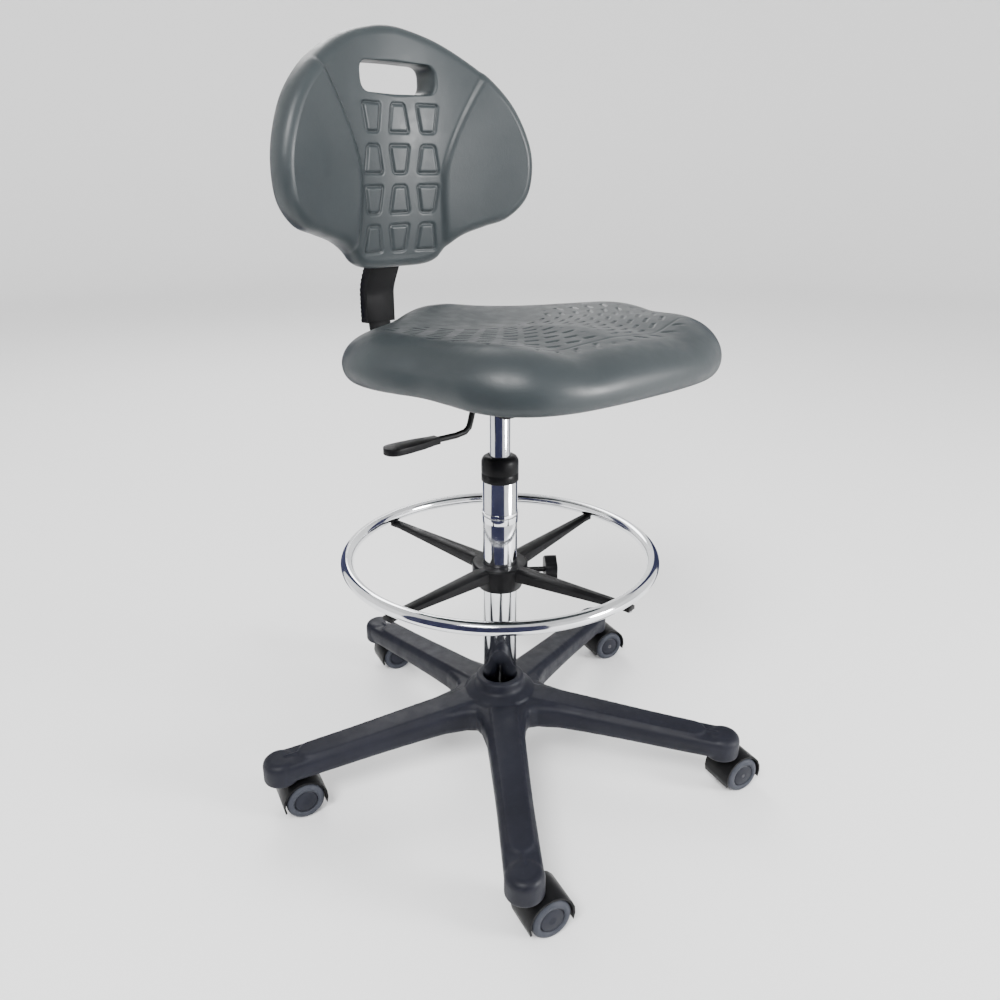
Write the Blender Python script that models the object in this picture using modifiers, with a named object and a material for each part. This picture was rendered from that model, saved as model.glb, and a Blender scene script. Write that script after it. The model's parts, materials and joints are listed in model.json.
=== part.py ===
import math

import bmesh
import bpy
from mathutils import Matrix, Vector

# A drafting chair: five-arm base on twin-wheel casters, gas-lift column, foot ring,
# moulded seat and backrest. Metres, +Z up, the sitter faces -Y. Heights start at the floor.

# The column's place: the frame's origin is the middle of the chair's footprint box
COLUMN_X = -0.0200
COLUMN_Y = -0.0262

# Clearances
FIT = 0.0003            # between pieces that touch or are cut by each other
RUN = 0.0004            # radial play of a turning or sliding piece

# Casters
WHEEL_RADIUS = 0.0275
WHEEL_WIDTH = 0.0195
WHEEL_EDGE = 0.005      # rounding of the tread's edges
WEB_WIDTH = 0.012       # web of the hood between the two wheels
HOOD_CLEARANCE = 0.0022
HOOD_WALL = 0.0028
HOOD_FRONT_ANGLE = 200  # where the hood ends ahead of the axle, degrees from the trailing side
HOOD_REAR_ANGLE = -22
AXLE_RADIUS = 0.004
TRAIL = 0.026           # stem to axle
TRAIL_ANGLE = -14       # heading of all five casters at rest, degrees
STEM_RADIUS = 0.0055
STEM_GRIP = 0.030       # length of the stem inside its socket
STEM_FLANGE_RADIUS = 0.0095
STEM_FLANGE = 0.0014
BOSS_RADIUS = 0.0105    # hood's boss round the stem

# Base
ARM_COUNT = 5
BASE_REACH = 0.340      # column to caster stem
SOCKET_RADIUS = 0.0250
SOCKET_HEIGHT = 0.038
SOCKET_ROOF = 0.0045
ARM_STOP = 0.008        # arm's end short of the stem's axis, inside the socket's wall
ARM_ROOT_HALF = 0.031
ARM_TIP_HALF = 0.0230
ARM_THICK = 0.037
ARM_ROOT_DROP = 0.020   # hub's top to the arm's top at its root
ARM_EDGE = 0.007
HUB_HEIGHT = 0.082
HUB_LIFT = 0.008        # hub's underside above the sockets' undersides
HUB_TOP_RADIUS = 0.037
HUB_BODY_RADIUS = 0.056
FIRST_ARM_ANGLE = 90

# Column
TUBE_RADIUS = 0.025
TUBE_WALL = 0.0016
TUBE_LENGTH = 0.392
TUBE_FLOOR = 0.003
TUBE_LIFT = 0.008       # lower end of the tube above the hub's underside
COLLAR_LIP = 0.0016     # how far the collar stands out past the tube
COLLAR_HEIGHT = 0.037
COLLAR_CHAMFER = 0.008
BUSH_DEPTH = 0.070      # length of the collar's bush inside the tube
BAND_DROP = 0.046       # tube's top to the stop band's top
BAND_HEIGHT = 0.016
BAND_PROUD = 0.0012
CYLINDER_RADIUS = 0.0145
CYLINDER_LENGTH = 0.420
CYLINDER_SHOWN = 0.078  # bare cylinder between the collar and the mechanism at rest
ROD_RADIUS = 0.005
ROD_TRAVEL_GAP = 0.082  # rod's top below the end of the cylinder's bore at rest
BEARING_RADIUS = 0.013
BEARING_HEIGHT = 0.0035
ROD_SHOULDER = 0.0035
CLIP_RADIUS = 0.010
CLIP_HEIGHT = 0.0016
BUTTON_RADIUS = 0.0045
BUTTON_HEIGHT = 0.020
BUTTON_PROUD = 0.0055
BUTTON_TRAVEL = 0.0050

# Foot ring
RING_RADIUS = 0.221
RING_TUBE = 0.009
RING_HUB_GAP = 0.065    # stop band's underside to the ring hub's top
RING_RISE = 0.014       # ring's centre line above the hub's top
RING_HUB_HEIGHT = 0.038
RING_HUB_TOP = 0.041
RING_HUB_FOOT = 0.032
SPOKE_COUNT = 4
SPOKE_TURN = 9          # angle of the first spoke, degrees
CLAMP_TURN = -36        # angle of the clamp knob
SPOKE_ROOT_HALF = 0.0135
SPOKE_TIP_HALF = 0.0075
SPOKE_ROOT_THICK = 0.020
SPOKE_TIP_THICK = 0.008
SPOKE_PAD_START = 0.92  # share of a spoke's length where its level pad starts
PAD_LENGTH = 0.008      # run of the pad past the ring's centre line, doubled
RING_SCREW_RADIUS = 0.0025
RING_SCREW_HEAD = 0.0045
RING_SCREW_HEAD_HEIGHT = 0.003
CLAMP_KNOB_RADIUS = 0.0215
CLAMP_KNOB_THICK = 0.017
CLAMP_KNOB_DISTANCE = 0.066
CLAMP_SCREW_RADIUS = 0.004

# Seat mechanism
BOX_HALF_X = 0.058
BOX_FRONT = 0.078       # front wall ahead of the column
BOX_REAR = 0.060        # rear wall behind the column
BOX_HEIGHT = 0.055
BOX_WALL = 0.0028
BOX_EDGE = 0.010
PLATE_HALF_X = 0.100
PLATE_HALF_Y = 0.085
PLATE_THICK = 0.004
PLATE_EDGE = 0.012
SOCKET_TUBE_WALL = 0.006
CYLINDER_TOP_GAP = 0.020  # cylinder's top below the plate's top
CHANNEL_LENGTH = 0.070    # guide of the back bar behind the box
CHANNEL_WALL = 0.003
BAR_DROP = 0.030          # bar's middle plane below the plate's top
SEAT_SCREW_X = 0.082
SEAT_SCREW_Y = 0.066
SEAT_SCREW_RADIUS = 0.003
SEAT_SCREW_HEAD = 0.006
SEAT_SCREW_HEAD_HEIGHT = 0.004
SEAT_SCREW_BITE = 0.012

# Height lever
LEVER_RADIUS = 0.0042
LEVER_PIVOT_X = 0.042     # trunnion's distance from the column, to the sitter's right
LEVER_PIVOT_RISE = 0.016  # trunnion above the box's lower edge
LEVER_REACH = 0.112       # column to the paddle's root
LEVER_SINK = 0.050        # outer run of the rod below the trunnion
PADDLE_LENGTH = 0.082
PADDLE_HALF = 0.0145
PADDLE_THICK = 0.009
TRUNNION_RADIUS = 0.0075
TRUNNION_HALF = 0.021
EAR_THICK = 0.003
LEVER_SLOT_HALF = 0.0075
LEVER_PIN_RADIUS = 0.003
PRESS_RISE = 0.0103       # lever's pressing end above the cylinder's top

# Seat
SEAT_WIDTH = 0.484        # full width at the hips
SEAT_DEPTH = 0.452        # front edge to rear tongue
SEAT_CENTRE_Y = -0.055    # pole of the cushion's form, from the column
SEAT_FRONT_Y = -0.269     # front edge, from the column
SEAT_THICK = 0.060
SEAT_SHAPE = [            # right half, as shares of the half width and of the depth from the front
    (0.00, 0.000),
    (0.50, 0.014),
    (0.72, 0.062),
    (0.815, 0.140),
    (0.835, 0.250),
    (0.880, 0.340),
    (0.960, 0.425),
    (1.000, 0.520),
    (0.985, 0.600),
    (0.870, 0.695),
    (0.640, 0.800),
    (0.380, 0.905),
    (0.160, 0.985),
    (0.00, 1.000),
]
SEAT_DISH = 0.014
SEAT_FRONT_FALL = 0.010
SEAT_REAR_LIP = 0.006
SEAT_RIDGE = 0.005        # ridge between the thigh troughs
SEAT_EDGE = 0.11          # rounded share of the way in from the rim

# Back bar and its sleeve
BAR_WIDTH = 0.038
BAR_THICK = 0.005
BAR_FRONT_Y = 0.049
BAR_BEND_RADIUS = 0.045
BAR_BACK_Y = 0.2905       # furthest point of the bar's bend, behind the column
BAR_LEAN_LOW = 0.055      # heights above the seat's underside where the lean starts and ends
BAR_LEAN_HIGH = 0.118
BAR_TOP = 0.240
SLEEVE_HALF_X = 0.0255
SLEEVE_FRONT = 0.0058     # sleeve's faces before and behind the bar's middle
SLEEVE_REAR = 0.0125
SLEEVE_RIDGE = 0.0016
SLEEVE_WALL = 0.0028
SLEEVE_LOW = 0.012
SLEEVE_HIGH = 0.121
SLEEVE_RIDGES = 17
KNOB_GAP = 0.002          # between a hand knob and what it clamps
DEPTH_KNOB_RADIUS = 0.019
DEPTH_KNOB_THICK = 0.010
DEPTH_KNOB_BACK = 0.040   # knob's axis behind the box's rear wall
KNOB_STUD_RADIUS = 0.0035

# Backrest
BACK_FRONT_Y = 0.222      # front face at the hand slot, behind the column
BACK_PLANE_Y = 0.2605     # flat of the rear face
BACK_HEAD = 0.3945        # the outline's zero above the seat's underside
BACK_RECLINE = 0.11       # backward lean per unit of height
BACK_BULGE = 0.51         # vertical curvature of the front face, per metre
BACK_WRAP = 1.84          # horizontal curvature, per metre
BACK_WRAP_EASE = 10.0
BACK_REAR_WRAP = 2.4
BACK_FLAT = 0.045       # half width of the rear face's flat
BACK_CENTRE_V = -0.125
BACK_EDGE = 0.08        # rounded share of the way in from the rim
BACK_OUTLINE = [          # right half, from the crown round the wing to the tab
    (0.000, 0.0290),
    (0.075, 0.0140),
    (0.140, -0.0230),
    (0.190, -0.0760),
    (0.2155, -0.1450),
    (0.207, -0.1990),
    (0.168, -0.2360),
    (0.118, -0.2500),
    (0.086, -0.2680),
    (0.066, -0.2890),
    (0.052, -0.2945),
    (0.000, -0.2950),
]
SLOT_HALF_WIDTH = 0.061
SLOT_HALF_HEIGHT = 0.0195
SLOT_CORNER = 0.015
SLOT_V = -0.039
CARRIER_HALF_X = 0.034
CARRIER_DEPTH = 0.026
CARRIER_LOW = 0.132       # heights above the seat's underside
CARRIER_HIGH = 0.252
CARRIER_FRONT_WALL = 0.0035
CARRIER_EDGE = 0.006
CARRIER_SCREW_X = 0.026
CARRIER_SCREW_HEIGHT = 0.232
CARRIER_SCREW_RADIUS = 0.0025
CARRIER_SCREW_HEAD = 0.005
CARRIER_SCREW_HEAD_HEIGHT = 0.003
CARRIER_SCREW_BITE = 0.014
BACK_KNOB_HEIGHT = 0.165
BACK_KNOB_RADIUS = 0.021
BACK_KNOB_THICK = 0.016

# Heights that follow from the sizes above
AXLE_Z = WHEEL_RADIUS
HOOD_RADIUS = WHEEL_RADIUS + HOOD_CLEARANCE + HOOD_WALL
HOOD_TOP = AXLE_Z + HOOD_RADIUS
SOCKET_BOTTOM = HOOD_TOP + STEM_FLANGE + 2 * FIT
SOCKET_TOP = SOCKET_BOTTOM + SOCKET_HEIGHT
HUB_BOTTOM = SOCKET_BOTTOM + HUB_LIFT
HUB_TOP = HUB_BOTTOM + HUB_HEIGHT
TUBE_BOTTOM = HUB_BOTTOM + TUBE_LIFT
TUBE_TOP = TUBE_BOTTOM + TUBE_LENGTH
COLLAR_TOP = TUBE_TOP + FIT + COLLAR_HEIGHT
BAND_TOP = TUBE_TOP - BAND_DROP
RING_HUB_Z = BAND_TOP - BAND_HEIGHT - RING_HUB_GAP
RING_Z = RING_HUB_Z + RING_RISE
BOX_BOTTOM = COLLAR_TOP + CYLINDER_SHOWN
PLATE_TOP = BOX_BOTTOM + BOX_HEIGHT + PLATE_THICK
SEAT_BOTTOM = PLATE_TOP + FIT
CYLINDER_TOP = PLATE_TOP - CYLINDER_TOP_GAP
BAR_Z = PLATE_TOP - BAR_DROP
LEVER_PIVOT_Z = BOX_BOTTOM + LEVER_PIVOT_RISE
BAR_TOP_Y = BACK_PLANE_Y + FIT + CARRIER_FRONT_WALL + RUN + BAR_THICK / 2
TUBE_BORE = TUBE_RADIUS - TUBE_WALL


def start_scene():
    for item in list(bpy.data.objects):
        bpy.data.objects.remove(item)
    groups = []
    for name in ("drafting_chair", "cutters"):
        group = bpy.data.collections.new(name)
        bpy.context.scene.collection.children.link(group)
        groups.append(group)
    return groups


PARTS, CUTTERS = start_scene()


def make_material(name, colour, roughness, metallic=0.0):
    material = bpy.data.materials.new(name)
    material.use_nodes = True
    shader = material.node_tree.nodes["Principled BSDF"]
    shader.inputs["Base Color"].default_value = (*colour, 1.0)
    shader.inputs["Roughness"].default_value = roughness
    shader.inputs["Metallic"].default_value = metallic
    return material


FINISHES = {
    "grey_foam": ((0.10, 0.12, 0.125), 0.55, 0.0),
    "black_nylon": ((0.035, 0.036, 0.045), 0.5, 0.0),
    "black_plastic": ((0.015, 0.015, 0.016), 0.4, 0.0),
    "wheel_grey": ((0.10, 0.11, 0.13), 0.45, 0.0),
    "chrome": ((0.75, 0.76, 0.78), 0.12, 1.0),
    "steel": ((0.45, 0.45, 0.46), 0.35, 1.0),
    "black_steel": ((0.02, 0.02, 0.021), 0.45, 0.3),
}


def pivot(name, location, parent=None, turn=0.0):
    """An empty on a joint's axis. Pieces that move together hang from it."""
    empty = bpy.data.objects.new(name, None)
    PARTS.objects.link(empty)
    empty.location = location
    empty.rotation_euler = (0, 0, turn)
    empty.parent = parent
    return empty


COLUMN = pivot("column_axis", (COLUMN_X, COLUMN_Y, 0))


def add_part(name, mesh, finish, parent=COLUMN, location=(0, 0, 0), smooth=True):
    item = bpy.data.objects.new(name, mesh)
    PARTS.objects.link(item)
    item.location = location
    item.parent = parent
    if smooth:
        mesh.shade_smooth()
        mesh.set_sharp_from_angle(angle=math.radians(35))
    colour, roughness, metallic = FINISHES[finish]
    mesh.materials.clear()
    mesh.materials.append(make_material(name, colour, roughness, metallic))
    return item


def combine(item, mesh, operation, location=(0, 0, 0)):
    """Joins a shape to a part, or cuts it from the part. The shape is hidden."""
    tool = bpy.data.objects.new(item.name + "_tool", mesh)
    CUTTERS.objects.link(tool)
    tool.location = location
    tool.parent = item.parent
    tool.hide_render = True
    tool.display_type = "WIRE"
    boolean = item.modifiers.new(operation.lower(), "BOOLEAN")
    boolean.operation = operation
    boolean.solver = "EXACT"
    boolean.object = tool
    return boolean


def join(item, mesh, location=(0, 0, 0)):
    return combine(item, mesh, "UNION", location)


def cut(item, mesh, location=(0, 0, 0)):
    return combine(item, mesh, "DIFFERENCE", location)


def mesh_from(form, name="shape"):
    """A bmesh made into a mesh, welded and facing outwards."""
    bmesh.ops.remove_doubles(form, verts=form.verts, dist=0.00001)
    bmesh.ops.recalc_face_normals(form, faces=form.faces)
    mesh = bpy.data.meshes.new(name)
    form.to_mesh(mesh)
    form.free()
    return mesh


def evaluated_mesh(item):
    """The item's shape after its modifiers, as a welded mesh. The item is removed."""
    bpy.context.view_layer.update()
    graph = bpy.context.evaluated_depsgraph_get()
    mesh = bpy.data.meshes.new_from_object(item.evaluated_get(graph))
    bpy.data.objects.remove(item)
    form = bmesh.new()
    form.from_mesh(mesh)
    return mesh_from(form)


AXIS_TURNS = {
    "x": Matrix.Rotation(math.radians(90), 4, "Y"),
    "y": Matrix.Rotation(math.radians(-90), 4, "X"),
    "z": Matrix.Identity(4),
}


def rod(radius, start, length, axis="z", sides=20, end_radius=None, at=(0, 0)):
    """A solid cylinder or cone along an axis, from start, with flats facing down.
    at gives its place across the axis."""
    form = bmesh.new()
    end = radius if end_radius is None else end_radius
    bmesh.ops.create_cone(form, cap_ends=True, segments=sides, radius1=radius, radius2=end, depth=length)
    bmesh.ops.rotate(form, verts=form.verts, matrix=Matrix.Rotation(math.pi / sides, 3, "Z"))
    bmesh.ops.translate(form, verts=form.verts, vec=(0, 0, start + length / 2))
    form.transform(AXIS_TURNS[axis])
    places = {"x": (0, at[0], at[1]), "y": (at[0], 0, at[1]), "z": (at[0], at[1], 0)}
    bmesh.ops.translate(form, verts=form.verts, vec=places[axis])
    return mesh_from(form)


def box(low, high, edge=0.0, rounds=2):
    """A box between two corners, with all its edges rounded."""
    form = bmesh.new()
    bmesh.ops.create_cube(form, size=1.0)
    size = Vector(high) - Vector(low)
    bmesh.ops.scale(form, verts=form.verts, vec=size)
    bmesh.ops.translate(form, verts=form.verts, vec=(Vector(high) + Vector(low)) / 2)
    if edge:
        bmesh.ops.bevel(form, geom=form.edges[:], offset=edge, segments=rounds, affect="EDGES", profile=0.5)
    return mesh_from(form)


def turned(profile, steps, closed=False):
    """A profile of (radius, height) points spun about Z. It runs down the outer side."""
    form = bmesh.new()
    points = [form.verts.new((radius, 0, height)) for radius, height in profile]
    links = list(zip(points, points[1:]))
    if closed:
        links.append((points[-1], points[0]))
    for first, second in links:
        form.edges.new((first, second))
    mesh = bpy.data.meshes.new("profile")
    form.to_mesh(mesh)
    form.free()
    item = bpy.data.objects.new("profile", mesh)
    CUTTERS.objects.link(item)
    screw = item.modifiers.new("spin", "SCREW")
    screw.steps = screw.render_steps = steps
    screw.use_merge_vertices = True
    screw.merge_threshold = 0.00001
    return evaluated_mesh(item)


def ring_profile(inner, outer, bottom, top, edge=0.0):
    """Closed section of a bush or washer, with an optional chamfer on its outer edges."""
    if not edge:
        return [(outer, top), (outer, bottom), (inner, bottom), (inner, top)]
    return [
        (outer - edge, top),
        (outer, top - edge),
        (outer, bottom + edge),
        (outer - edge, bottom),
        (inner, bottom),
        (inner, top),
    ]


def slab(outline, thick):
    """A flat outline in XY with the given thickness, centred on the plane."""
    curve = bpy.data.curves.new("outline", "CURVE")
    curve.dimensions = "2D"
    curve.fill_mode = "BOTH"
    curve.extrude = thick / 2
    spline = curve.splines.new("POLY")
    spline.points.add(len(outline) - 1)
    for point, (x, y) in zip(spline.points, outline):
        point.co = (x, y, 0, 1)
    spline.use_cyclic_u = True
    item = bpy.data.objects.new("outline", curve)
    CUTTERS.objects.link(item)
    return evaluated_mesh(item)


def oriented(mesh, x_to, y_to, offset=(0, 0, 0)):
    """Turns a mesh so that its X and Y run along two given directions."""
    x_axis, y_axis = Vector(x_to), Vector(y_to)
    turn = Matrix((x_axis, y_axis, x_axis.cross(y_axis))).transposed().to_4x4()
    mesh.transform(Matrix.Translation(offset) @ turn)
    return mesh


def arc(centre, radius, start, end, count):
    """Points on an arc, angles in degrees."""
    points = []
    for step in range(count + 1):
        angle = math.radians(start + (end - start) * step / count)
        points.append((centre[0] + radius * math.cos(angle), centre[1] + radius * math.sin(angle)))
    return points


def rounded_rectangle(half_x, half_y, corner, count=4):
    points = []
    for side_x, side_y, start in ((1, 1, 0), (-1, 1, 90), (-1, -1, 180), (1, -1, 270)):
        centre = (side_x * (half_x - corner), side_y * (half_y - corner))
        points += arc(centre, corner, start, start + 90, count)
    return points


def loft(loops, capped=True):
    """A skin through closed loops of equal count. Without caps the last loop meets the first."""
    form = bmesh.new()
    rows = [[form.verts.new(point) for point in loop] for loop in loops]
    pairs = list(zip(rows, rows[1:]))
    if capped:
        form.faces.new(rows[0])
        form.faces.new(rows[-1])
    else:
        pairs.append((rows[-1], rows[0]))
    for lower, upper in pairs:
        for index in range(len(lower)):
            follow = (index + 1) % len(lower)
            form.faces.new((lower[index], lower[follow], upper[follow], upper[index]))
    return mesh_from(form)


def smooth_through(points, count):
    """Points of a smooth line through the given ones, count to each stretch."""
    line = []
    for index in range(len(points) - 1):
        before = Vector(points[max(index - 1, 0)])
        start, end = Vector(points[index]), Vector(points[index + 1])
        after = Vector(points[min(index + 2, len(points) - 1)])
        for step in range(count):
            t = step / count
            line.append(
                0.5
                * (
                    2 * start
                    + (end - before) * t
                    + (2 * before - 5 * start + 4 * end - after) * t * t
                    + (3 * start - before - 3 * end + after) * t * t * t
                )
            )
    line.append(Vector(points[-1]))
    return line


def star_knob(radius, thick, lobes=6):
    """A knob with rounded lobes about Z, from 0 up to its thickness."""
    outline = []
    for step in range(lobes * 6):
        angle = 2 * math.pi * step / (lobes * 6)
        reach = radius * (0.93 + 0.07 * math.cos(lobes * angle))
        outline.append((reach * math.cos(angle), reach * math.sin(angle)))
    return oriented(slab(outline, thick), (1, 0, 0), (0, 1, 0), (0, 0, thick / 2))


def polar(radius, degrees):
    angle = math.radians(degrees)
    return radius * math.cos(angle), radius * math.sin(angle)


# ---- casters ----


def wheel_mesh():
    """One wheel about Z, centred, with a soft-cornered tread and a shallow outer dish."""
    half = WHEEL_WIDTH / 2
    apothem = WHEEL_RADIUS / math.cos(math.pi / 24)
    profile = [
        (WHEEL_RADIUS - WHEEL_EDGE * 1.2, half - 0.001),
        (WHEEL_RADIUS - WHEEL_EDGE, half),
        (apothem - WHEEL_EDGE * 0.3, half - WHEEL_EDGE * 0.3),
        (apothem, half - WHEEL_EDGE),
        (apothem, -half + WHEEL_EDGE),
        (apothem - WHEEL_EDGE * 0.3, -half + WHEEL_EDGE * 0.3),
        (apothem - WHEEL_EDGE, -half),
        (AXLE_RADIUS + RUN, -half),
        (AXLE_RADIUS + RUN, half - 0.003),
        (AXLE_RADIUS + 0.002, half - 0.001),
    ]
    mesh = turned(profile, 24, closed=True)
    mesh.transform(Matrix.Rotation(math.pi / 24, 4, "Z"))
    return mesh


def hood_mesh():
    """Hood, web and stem boss of a caster. +X trails, the axle runs along Y, the stem is at 0."""
    inner = HOOD_RADIUS - HOOD_WALL
    shell = arc((0, 0), HOOD_RADIUS, HOOD_REAR_ANGLE, HOOD_FRONT_ANGLE, 12)
    shell += arc((0, 0), inner, HOOD_FRONT_ANGLE, HOOD_REAR_ANGLE + 6, 12)
    web = arc((0, 0), HOOD_RADIUS - HOOD_WALL / 2, HOOD_REAR_ANGLE + 8, HOOD_FRONT_ANGLE - 4, 9)
    web += [(-0.008, -0.006), (0, -0.0085), (0.008, -0.006)]
    width = 2 * WHEEL_WIDTH + WEB_WIDTH - 0.002
    place = (TRAIL, 0, AXLE_Z)
    shapes = [oriented(slab(points, thick), (1, 0, 0), (0, 0, 1), place)
              for points, thick in ((shell, width), (web, WEB_WIDTH - 2 * FIT - 0.001))]
    boss_foot = AXLE_Z + math.sqrt(inner**2 - (TRAIL - BOSS_RADIUS) ** 2) + FIT
    item = bpy.data.objects.new("hood", shapes[0])
    PARTS.objects.link(item)
    join(item, shapes[1])
    join(item, rod(BOSS_RADIUS, boss_foot, HOOD_TOP - boss_foot, sides=24))
    cut(item, rod(AXLE_RADIUS + FIT, -WEB_WIDTH, 2 * WEB_WIDTH, "y", 16, at=(TRAIL, AXLE_Z)))
    cut(item, rod(STEM_RADIUS + FIT, boss_foot + 0.0012, HOOD_TOP, sides=20))
    return evaluated_mesh(item), boss_foot + 0.0012


def stem_mesh(seat_z):
    """Steel stem with its flange, standing in the hood and reaching into the base's socket."""
    flange = HOOD_TOP + FIT
    top = SOCKET_BOTTOM + STEM_GRIP
    return turned(
        [
            (0, top),
            (STEM_RADIUS - 0.001, top),
            (STEM_RADIUS, top - 0.001),
            (STEM_RADIUS, flange + STEM_FLANGE),
            (STEM_FLANGE_RADIUS, flange + STEM_FLANGE),
            (STEM_FLANGE_RADIUS, flange),
            (STEM_RADIUS, flange),
            (STEM_RADIUS, seat_z + FIT),
            (0, seat_z + FIT),
        ],
        14,
    )


def build_casters():
    wheel = wheel_mesh()
    hood, stem_seat = hood_mesh()
    stem = stem_mesh(stem_seat)
    axle_half = WEB_WIDTH / 2 + WHEEL_WIDTH - 0.004
    axle = rod(AXLE_RADIUS, -axle_half, 2 * axle_half, "y", 16)
    for number in range(ARM_COUNT):
        x, y = polar(BASE_REACH, FIRST_ARM_ANGLE + 360 / ARM_COUNT * number)
        name = "caster_%d" % (number + 1)
        swivel = pivot(name + "_swivel", (x, y, 0), COLUMN, math.radians(TRAIL_ANGLE))
        add_part(name + "_stem", stem.copy(), "steel", swivel)
        add_part(name + "_hood", hood.copy(), "black_plastic", swivel)
        add_part(name + "_axle", axle.copy(), "steel", swivel, (TRAIL, 0, AXLE_Z))
        for side, label in ((1, "left"), (-1, "right")):
            tyre = wheel.copy()
            tyre.transform(Matrix.Rotation(math.radians(-90 * side), 4, "X"))
            offset = side * (WEB_WIDTH + WHEEL_WIDTH) / 2
            add_part(name + "_wheel_" + label, tyre, "wheel_grey", swivel, (TRAIL, offset, AXLE_Z))


# ---- base ----


def arm_section(x, half, bottom, top):
    """Eight-sided section of an arm, with its upper and lower edges broken."""
    edge = min(ARM_EDGE, half / 3, (top - bottom) / 3)
    ring = [
        (half, bottom + edge), (half, top - edge), (half - edge, top), (edge - half, top),
        (-half, top - edge), (-half, bottom + edge), (edge - half, bottom), (half - edge, bottom),
    ]
    return [Vector((x, y, z)) for y, z in ring]


def arm_mesh(degrees):
    """An arm that runs outward and falls from the hub to its socket."""
    root_top = HUB_TOP - ARM_ROOT_DROP
    tip_top = SOCKET_TOP - 0.0005
    loops = []
    for share in (0.1, 0.22, 0.45, 0.7, 0.9, 1.0):
        ease = share * share * (3 - 2 * share) * 0.35 + share * 0.65
        top = root_top + (tip_top - root_top) * ease
        half = ARM_ROOT_HALF + (ARM_TIP_HALF - ARM_ROOT_HALF) * share
        thick = ARM_THICK + (SOCKET_HEIGHT - 0.004 - ARM_THICK) * share * share
        thick += (1 - share) ** 3 * 0.014
        loops.append(arm_section((BASE_REACH - ARM_STOP) * share, half, top - thick, top))
    mesh = loft(loops)
    mesh.transform(Matrix.Rotation(math.radians(degrees), 4, "Z"))
    return mesh


def build_base():
    hub = turned(
        [
            (TUBE_RADIUS + FIT, HUB_TOP),
            (HUB_TOP_RADIUS - 0.003, HUB_TOP),
            (HUB_TOP_RADIUS, HUB_TOP - 0.003),
            (HUB_TOP_RADIUS + 0.002, HUB_TOP - 0.012),
            (HUB_BODY_RADIUS - 0.006, HUB_TOP - ARM_ROOT_DROP),
            (HUB_BODY_RADIUS, HUB_TOP - ARM_ROOT_DROP - 0.010),
            (HUB_BODY_RADIUS - 0.004, HUB_BOTTOM + 0.010),
            (HUB_TOP_RADIUS, HUB_BOTTOM),
            (TUBE_RADIUS + FIT, HUB_BOTTOM),
        ],
        30,
        closed=True,
    )
    base = add_part("base_star", hub, "black_nylon")
    places = [FIRST_ARM_ANGLE + 360 / ARM_COUNT * number for number in range(ARM_COUNT)]
    for degrees in places:
        join(base, arm_mesh(degrees))
        socket = turned(
            [
                (0, SOCKET_TOP),
                (SOCKET_RADIUS - 0.008, SOCKET_TOP),
                (SOCKET_RADIUS - 0.0025, SOCKET_TOP - 0.003),
                (SOCKET_RADIUS, SOCKET_TOP - 0.009),
                (SOCKET_RADIUS, SOCKET_BOTTOM + 0.001),
                (SOCKET_RADIUS - 0.001, SOCKET_BOTTOM),
                (STEM_RADIUS + RUN, SOCKET_BOTTOM),
                (STEM_RADIUS + RUN, SOCKET_TOP - SOCKET_ROOF),
                (0, SOCKET_TOP - SOCKET_ROOF),
            ],
            24,
        )
        join(base, socket, (*polar(BASE_REACH, degrees), 0))


# ---- column ----


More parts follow.
